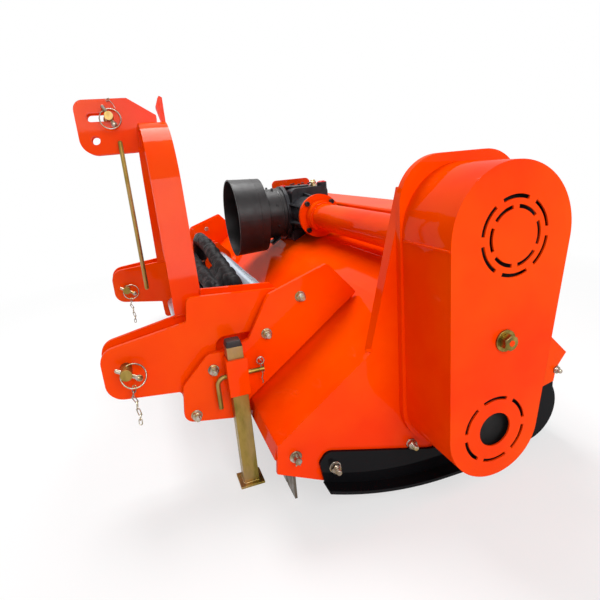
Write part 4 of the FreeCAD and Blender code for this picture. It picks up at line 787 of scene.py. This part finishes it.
class MULCHER_OT_input_splines(bpy.types.Operator):
    """Replaces the plain input shaft by one with six splines"""

    bl_idname = "mulcher.input_splines"
    bl_label = "Input shaft splines"

    def execute(self, context):
        low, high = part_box("input_shaft")
        outer, inner, free, whole = 17.4, 14.9, 66, (high.y - low.y) / MM
        outline = []
        for tooth in range(6):
            for step, radius in ((-9.5, outer), (9.5, outer), (14, inner), (46, inner)):
                angle = math.radians(60 * tooth + step)
                outline.append((radius * math.cos(angle), radius * math.sin(angle)))
        piece = Piece("input_splines", "input_shaft", "dark_steel", "worn_steel")
        place = facing(at("input_shaft", (0.5, 0, 0.5)), Y)
        teeth = extruded(outline, free)
        ends = [v for v in teeth.verts if v.co.z < free * MM / 2]
        bmesh.ops.scale(teeth, vec=(0.93, 0.93, 1), verts=ends)
        piece.add(teeth, place)
        piece.add(lathe([(0, free), (19.6, free), (19.6, whole), (0, whole)], 28), place)
        groove = [(0, 30), (16.6, 30), (15.8, 34), (16.6, 38), (0, 38)]
        piece.add(lathe(groove, 28), place)
        item = piece.finish()
        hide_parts("input_shaft")
        return {"FINISHED"}


class MULCHER_OT_guard_trim(bpy.types.Operator):
    """Adds the guard's rim, mould lines and clamping ring"""

    bl_idname = "mulcher.guard_trim"
    bl_label = "Guard trim"

    def execute(self, context):
        piece = Piece("guard_lines", "housing", "black_plastic", "guard_plastic")
        front = at("pto_guard", (0.5, 0, 0.5))
        for along, outer, wide in ((2.5, 154.7, 5), (93, 150.1, 1.6), (142, 101.8, 1.8),
                                   (196, 102.6, 9)):
            thick = wide * 0.15
            ring = torus((outer - thick) * MM, thick * MM, steps=72, sides=6)
            bmesh.ops.scale(ring, vec=(1, 1, 3), verts=ring.verts)
            piece.add(ring, facing(front + mm(0, along, 0), Y))
        piece.finish()
        return {"FINISHED"}


# ---------------- linchpins and chains


def chain(piece, points, sizes):
    """Links laid along points, each turned a quarter from the last."""
    pitch = sizes.link_length
    route = points[:1]
    for start, end in zip(points, points[1:]):
        steps = max(1, round((end - start).length / pitch))
        route += [start.lerp(end, (i + 1) / steps) for i in range(steps)]
    across = Matrix.Rotation(math.pi / 2, 4, "Y")
    for number, (start, end) in enumerate(zip(route, route[1:])):
        along = end - start
        link = torus(pitch * 0.27, sizes.link_wire, steps=10, sides=5,
                     stretch=along.length - pitch * 0.26)
        roll = math.pi / 2 * (number % 2) + 0.3
        piece.add(link, facing((start + end) / 2, along, roll) @ across)


def linchpin(piece, centre, shank, ring_shift, lean, sizes):
    """A linchpin through the end of a pin, with its spring ring folded over it."""
    along = Vector((0, *shank)).normalized()
    radius, head = sizes.shank_radius, sizes.shank_radius * 1.35
    half = sizes.shank_length / 2
    profile = [(0, -half), (radius * 0.6, -half), (radius, -half + radius * 0.7),
               (radius, half - 14 * MM), (head, half - 12 * MM), (head, half - 2 * MM),
               (radius * 0.9, half), (0, half)]
    piece.add(turned(profile, 18), facing(centre, along))
    place = facing(centre + mm(2, *ring_shift), (1, 0, lean))
    piece.add(torus(sizes.ring_radius, sizes.ring_wire, steps=44), place)
    eye = centre + along * (half - 6 * MM)
    piece.add(torus(head, sizes.ring_wire, steps=18, sides=6), facing(eye, X))


class MULCHER_OT_linchpins(bpy.types.Operator):
    """Adds the linchpins, their rings and their chains to the hitch pins"""

    bl_idname = "mulcher.linchpins"
    bl_label = "Linchpins and chains"

    def execute(self, context):
        sizes = context.scene.mulcher_pins
        pins = Piece("linchpins", "hitch", "yellow_zinc", "bright_zinc", crease=50)
        chains = Piece("pin_chains", "hitch", "yellow_zinc", "bright_zinc", crease=60)
        for side, _ in SIDES:
            centre = at(f"lower_link_pin_{side}", (1, 0.5, 0.5), (-17, 4, -5))
            linchpin(pins, centre, (60, -37), (11, -5), 0.55, sizes)
            hanging = ((9, -31), (0, -59), (7, -73), (5, -93), (9, -110), (5, -135))
            chain(chains, [centre + mm(2, y, z) for y, z in hanging], sizes)
        end = at("top_link_pin", (1, 0.5, 0.5), (-11, 0, 0))
        linchpin(pins, end, (28, -60), (3, -8), 0.3, sizes)
        start = end + mm(2, 22, 20)
        rise = end + mm(-8, 8, 0)
        rise.z = at("top_link_plates", Z, (0, 0, -4)).z
        bow = start.lerp(rise, 0.5) + mm(3, 2, 0)
        chains.add(wire([start, bow, rise], sizes.link_wire * 0.8, sides=6))
        lying = ((0, 0, 0), (-20, -12, -1), (-45, -6, -8), (-50, 4, -48))
        chain(chains, [rise + mm(*shift) for shift in lying], sizes)
        pins.finish()
        chains.finish()
        return {"FINISHED"}


# ---------------- parking legs


class MULCHER_OT_leg_trim(bpy.types.Operator):
    """Adds the legs' caps and foot welds, and the spring clips of their pins"""

    bl_idname = "mulcher.leg_trim"
    bl_label = "Leg trim"

    def execute(self, context):
        sizes = context.scene.mulcher_pins
        for side, sign in SIDES:
            cap = Piece(f"leg_cap_{side}", f"leg_{side}", "black_plastic", "cap_plastic")
            top = at(f"parking_leg_{side}", (0.5, 0.5, 1), (0, 0, 6))
            lid = block((40.4, 40.4, 17), 3, 3)
            upper = [v for v in lid.verts if v.co.z > 0]
            bmesh.ops.scale(lid, vec=(0.9, 0.9, 1), verts=upper)
            cap.add(lid, Matrix.Translation(top))
            cap.finish()
            weld = Piece(f"leg_weld_{side}", f"leg_{side}", "yellow_zinc", "olive_zinc", 80)
            foot = at(f"parking_leg_{side}", (0.5, 0.5, 0), (0, 0, 7))
            half = 20.5
            corners = [foot + mm(half * a, half * b, 0)
                       for a, b in ((1, 1), (-1, 1), (-1, -1), (1, -1))]
            for start, end in closed(corners):
                bead(weld, start, end, 3.2 * MM, 4.4 * MM)
            weld.finish()
            clip = Piece(f"leg_clip_{side}", "housing", "yellow_zinc", "bright_zinc", 60)
            pin = at(f"leg_pin_{side}", (0.5, 1, 0), (0, -7, 84))
            route = [(0, 0, -40), (0, 1.5, -34), (0, -1.5, -26), (0, 2.6, -14), (0, 0.8, 0),
                     (0, 0, 9), (0, 0, 14)]
            coil, coil_high, slant = 9.5, 23.5, 4.5 / 12.6
            for step in range(1, 26):
                angle = step * math.pi / 8
                route.append((-slant * angle, coil * math.sin(angle),
                              coil_high - coil * math.cos(angle)))
            route += [(-9, 8.5, 12), (-9, 8, 2), (-8.6, 7.4, -9), (-8.2, 8.6, -13)]
            clip.add(wire([pin + mm(x * sign, y, z) for x, y, z in route], sizes.clip_wire, 7))
            clip.finish()
        return {"FINISHED"}


class MULCHER_OT_rod_ends(bpy.types.Operator):
    """Puts washers, collars and split pins on the ends of the flap rod"""

    bl_idname = "mulcher.rod_ends"
    bl_label = "Flap rod ends"

    def execute(self, context):
        piece = Piece("flap_rod_ends", "housing", "yellow_zinc", "bright_zinc")
        washer = [(0, 0), (14.5, 0), (14.5, 2.4), (13.8, 3), (0, 3)]
        collar = [(0, 2), (8.3, 2), (8.3, 21), (7, 22.4), (0, 22.4)]
        split_pin = ([(0, 15), (1.6, 9), (1.6, -11), (5, -16)],
                     [(-5, -15), (-1.6, -11), (-1.6, 9), (0, 15)])
        for sign in (1, -1):
            end = at("flap_rod", ((1 + sign) / 2, 0.5, 0.5))
            place = facing(end - mm(22 * sign, 0, 0), (sign, 0, 0))
            piece.add(lathe(washer, 26), place)
            piece.add(lathe(collar, 20), place)
            for leg in split_pin:
                points = [end + mm(-9 * sign, y, z) for y, z in leg]
                piece.add(wire(points, 1.5 * MM, 6))
        piece.finish()
        return {"FINISHED"}


# ---------------- welds


def bead(piece, start, end, radius, ripple):
    """A weld bead from start to end, rippled along its length."""
    start, end = Vector(start), Vector(end)
    count = max(4, int((end - start).length / ripple * 2))
    points = [start.lerp(end, i / count) for i in range(count + 1)]
    points = [p + noise.noise_vector(p * 90) * radius * 0.25 for p in points]
    piece.add(wire(points, radius * 0.75, 6,
                   swell=lambda i: 1.28 if i % 2 and 0 < i < count else 1.0))


class MULCHER_OT_welds(bpy.types.Operator):
    """Lays the weld beads of the hitch and the housing"""

    bl_idname = "mulcher.welds"
    bl_label = "Welds"

    def execute(self, context):
        sizes = context.scene.mulcher_welds
        size, ripple = sizes.radius, sizes.ripple
        low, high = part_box("hitch_arch")
        front, rear = low.y - 1 * MM, high.y + 1 * MM
        seams = []
        for outer, sign in ((high.x, 1), (low.x, -1)):
            for x in (outer, outer - 16 * MM * sign):
                seams.append(((x, low.y, low.z), (x, high.y, low.z)))
            seams.append(((outer, low.y, low.z), (outer, low.y, low.z - 6 * MM)))
            seams.append(((outer, rear, low.z), (outer, rear, low.z + 58 * MM)))
        near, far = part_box("cross_tube")
        for x in (far.x - 2 * MM, near.x + 2 * MM):
            seams += closed([(x, near.y, near.z), (x, far.y, near.z), (x, far.y, far.z),
                             (x, near.y, far.z)])
        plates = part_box("top_link_plates")
        for x in (plates[1].x, plates[0].x):
            seams.append(((x, front, high.z - 62 * MM), (x, front, high.z - 2 * MM)))
            seams.append(((x, low.y, high.z), (x, high.y - 16 * MM, high.z)))
        hitch = Piece("hitch_welds", "hitch", "orange_paint", "weld_paint", crease=80)
        for start, end in seams:
            bead(hitch, start, end, size, ripple)
        hitch.finish()
        hood_top, cover_joint = 530 * MM, 645 * MM
        low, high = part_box("belt_cover")
        seams = [((low.x + 2 * MM, low.y, cover_joint), (high.x - 22 * MM, low.y, cover_joint),
                  0.7)]
        side_x = at("side_plate_left", X).x
        seams.append(((side_x, -17 * MM, 406 * MM), (side_x, -2 * MM, 402 * MM), 1))
        for side, sign in SIDES:
            low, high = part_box(f"leg_sleeve_{side}")
            x = low.x if sign > 0 else high.x
            for y in (low.y, high.y):
                seams.append(((x, y, low.z + 4 * MM), (x, y, high.z - 4 * MM), 0.8))
        low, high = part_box("gearbox_pedestal")
        for x in (low.x, high.x):
            seams.append(((x, 219 * MM, hood_top), (x, high.y, hood_top), 1))
        housing = Piece("housing_welds", "housing", "orange_paint", "weld_paint", crease=80)
        for start, end, share in seams:
            bead(housing, start, end, size * share, ripple)
        low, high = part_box("rear_beam")
        bead(housing, (low.x, low.y, hood_top), (high.x, low.y, hood_top), size, ripple * 2)
        ring = torus(49 * MM, size, steps=56, sides=6)
        for v in ring.verts:
            v.co += noise.noise_vector(v.co * 160) * size * 0.3
        housing.add(ring, facing(at("drive_tube", (1, 0.5, 0.5), (-1, 0, 0)), X))
        housing.add(torus(50 * MM, size * 0.9, steps=56, sides=6),
                    facing(at("drive_tube", (0, 0.5, 0.5), (57.5, 0, 0)), X))
        housing.finish()
        return {"FINISHED"}


# ---------------- hoses


class MULCHER_OT_hose_sleeves(bpy.types.Operator):
    """Replaces the plain hoses by wrinkled sleeves, with their collars and a coupling's cap"""

    bl_idname = "mulcher.hose_sleeves"
    bl_label = "Hose sleeves"

    def execute(self, context):
        sizes = context.scene.mulcher_hoses
        bm = bmesh.new()
        bm.from_mesh(frame["nodes"]["hose_bundle"].data)
        bmesh.ops.remove_doubles(bm, verts=bm.verts, dist=1e-5)
        spare = mesh_object("sleeve_start", bm)
        skin = spare.modifiers.new("skin", "REMESH")
        skin.mode = "VOXEL"
        skin.voxel_size = sizes.grain
        bm = worked_out(spare)
        bpy.data.objects.remove(spare)
        bm.normal_update()
        moves = []
        for v in bm.verts:
            x, y, z = v.co
            folds = noise.noise(Vector((x * 26, y * 11, z * 9)))
            ridges = 1 - abs(noise.noise(Vector((x * 15 + 7, y * 30, z * 24))))
            fine = noise.noise(v.co * 120)
            depth = 0.5 - 0.5 * folds + 0.45 * ridges ** 6 + 0.08 * fine
            moves.append(v.normal * -sizes.fold_depth * depth)
        for v, move in zip(bm.verts, moves):
            v.co += move
        piece = Piece("hose_sleeves", "hitch", "black_sleeve", "woven_sleeve", crease=180)
        piece.add(bm)
        item = piece.finish()
        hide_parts("hose_bundle")
        ends = Piece("hose_ends", "hitch", "bar_chrome", "bright_zinc")
        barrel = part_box("shift_barrel")
        for inwards, y, z in ((42, -221, 447), (84, -271, 437)):
            for x in (barrel[0].x + inwards * MM, barrel[1].x - inwards * MM):
                ends.add(disc(20 * MM, 11 * MM, 2 * MM), facing((x, y * MM, z * MM), Z))
        ends.finish()
        cap = Piece("coupling_cap", "hitch", "black_plastic", "red_plastic")
        profile = [(0, -24), (12, -24), (12, -4), (17, -2), (17, 13), (15, 16), (7, 17), (0, 13)]
        cap.add(lathe(profile, 26), facing(mm(546, -176, 462), (0.8, 0.1, 0.6)))
        cap.finish()
        return {"FINISHED"}


# ---------------- rear end


class MULCHER_OT_rear_trim(bpy.types.Operator):
    """Adds the nuts of the roller's arms and the rotor bearing"""

    bl_idname = "mulcher.rear_trim"
    bl_label = "Rear and bearing screws"

    def execute(self, context):
        sizes = context.scene.mulcher_fasteners
        piece = Piece("bearing_screws", "housing", "yellow_zinc", "bright_zinc")
        flange = at("bearing_right", (1, 0.5, 0.5), (-18, 0, 0))
        for angle, shift in circle(4, 76 * MM, 45, Y, Z):
            nut_and_stud(piece, facing(flange + shift, (-1, 0, 0), angle), sizes, 0.8, 0.7)
        left_x = at("side_plate_left", X, (-8, 0, 0)).x
        right_x = at("side_plate_right", (0, 0, 0)).x
        for x, sign, y, z, scale in ((left_x, 1, 548, 226, 0.9), (right_x, -1, 496, 212, 0.8),
                                     (right_x, -1, 538, 226, 0.8)):
            place = facing((x, y * MM, z * MM), (sign, 0, 0))
            nut_and_stud(piece, place, sizes, 1.0, scale)
        piece.finish()
        return {"FINISHED"}


# ---------------- stage


def make_camera(stage):
    """The camera, from its place and two of its directions."""
    data = bpy.data.cameras.new("view_camera")
    data.lens = stage.lens
    data.sensor_width = 36.0
    camera = new_object("view_camera", data)
    right = Vector(stage.camera_right).normalized()
    back = right.cross(Vector(stage.camera_up)).normalized()
    turn = Matrix((right, back.cross(right), back)).transposed().to_4x4()
    camera.matrix_world = Matrix.Translation(stage.camera_place) @ turn
    bpy.context.scene.camera = camera


def make_lamp(name, place, target, size, watts):
    """A soft square lamp that looks at a target."""
    data = bpy.data.lights.new(name, "AREA")
    data.size = size
    data.energy = watts
    new_object(name, data).matrix_world = facing(place, Vector(place) - Vector(target))


def white_to_lens(tree, surface, output, share=None):
    """Shows plain white, or a share of it, to the camera and in reflections."""
    path = node(tree, "ShaderNodeLightPath", {})
    kind = "ShaderNodeBackground" if share is None else "ShaderNodeEmission"
    white = node(tree, kind, {"Color": (1, 1, 1, 1)})
    seen = path.outputs["Is Camera Ray"]
    for extra in ("Is Glossy Ray", "Is Transmission Ray"):
        seen = reckoned(tree, "MAXIMUM", seen, path.outputs[extra])
    if share is not None:
        seen = reckoned(tree, "MULTIPLY", seen, share)
    mix = node(tree, "ShaderNodeMixShader", {"Fac": seen, 1: surface, 2: white.outputs[0]})
    feed(output, {"Surface": mix.outputs[0]})


class MULCHER_OT_stage(bpy.types.Operator):
    """Adds the camera, the lamps, the world and the floor"""

    bl_idname = "mulcher.stage"
    bl_label = "Stage"

    def execute(self, context):
        stage = context.scene.mulcher_stage
        make_camera(stage)
        world = bpy.data.worlds.new("studio")
        context.scene.world = world
        world.use_nodes = True
        tree = world.node_tree
        sky = tree.nodes["Background"]
        feed(sky, {"Color": (0.96, 0.98, 1.0, 1), "Strength": stage.sky})
        white_to_lens(tree, sky.outputs[0], tree.nodes["World Output"])
        make_lamp("lamp_top", (-1.0, -0.1, 3.7), (0.1, 0, 0.5), 2.0, stage.top_watts)
        make_lamp("lamp_key", (4.4, 0.2, 2.4), (0.6, 0, 0.5), 2.4, stage.key_watts)
        bm = bmesh.new()
        bmesh.ops.create_circle(bm, cap_ends=True, radius=stage.floor_size, segments=64)
        floor = mesh_object("floor", bm)
        tree, shader = new_material("floor_paper")
        shade = blend(tree, spread(tree, grain(tree, 2.0, 3.0), 0, 1), (0.93, 0.93, 0.93),
                      (0.95, 0.95, 0.95))
        feed(shader, {"Base Color": shade, "Roughness": 0.9, "Specular IOR Level": 0.0})
        reach = node(tree, "ShaderNodeVectorMath", {0: own_places(tree)}, operation="LENGTH")
        near, far = 1.3, 2.6
        share = spread(tree, reach.outputs["Value"], stage.paper_white, 1.0, near, far)
        white_to_lens(tree, shader.outputs[0], tree.nodes["Material Output"], share)
        floor.data.materials.append(bpy.data.materials["floor_paper"])
        context.scene.view_settings.view_transform = "Standard"
        return {"FINISHED"}


# ---------------- panel


GROUPS = {"mulcher_paint": MulcherPaint, "mulcher_fasteners": MulcherFasteners,
          "mulcher_pins": MulcherPins, "mulcher_welds": MulcherWelds,
          "mulcher_hoses": MulcherHoses, "mulcher_stage": MulcherStage}

STEPS = (MULCHER_OT_stage, MULCHER_OT_finishes, MULCHER_OT_plate_nuts, MULCHER_OT_skid_nuts,
         MULCHER_OT_cover_bolt, MULCHER_OT_cover_painted_shade, MULCHER_OT_flange_screws,
         MULCHER_OT_gearbox_trim, MULCHER_OT_input_splines, MULCHER_OT_guard_trim,
         MULCHER_OT_linchpins, MULCHER_OT_leg_trim, MULCHER_OT_rod_ends, MULCHER_OT_welds,
         MULCHER_OT_hose_sleeves, MULCHER_OT_rear_trim)


class MULCHER_PT_panel(bpy.types.Panel):
    """Lists the settings and the steps"""

    bl_idname = "MULCHER_PT_panel"
    bl_label = "Side-shift mulcher"
    bl_space_type = "VIEW_3D"
    bl_region_type = "UI"
    bl_category = "Mulcher"

    def draw(self, context):
        for name, group in GROUPS.items():
            box = self.layout.box()
            box.label(text=group.__doc__)
            settings = getattr(context.scene, name)
            for key in group.__annotations__:
                box.prop(settings, key)
        for step in STEPS:
            self.layout.operator(step.bl_idname)


CLASSES = (*GROUPS.values(), *STEPS, MULCHER_PT_panel)


def register():
    for item in CLASSES:
        bpy.utils.register_class(item)
    for name, group in GROUPS.items():
        setattr(bpy.types.Scene, name, bpy.props.PointerProperty(type=group))


def unregister():
    for name in GROUPS:
        delattr(bpy.types.Scene, name)
    for item in reversed(CLASSES):
        bpy.utils.unregister_class(item)


def main():
    register()
    for step in STEPS:
        family, action = step.bl_idname.split(".")
        getattr(getattr(bpy.ops, family), action)()
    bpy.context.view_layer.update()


if __name__ == "__main__":
    main()
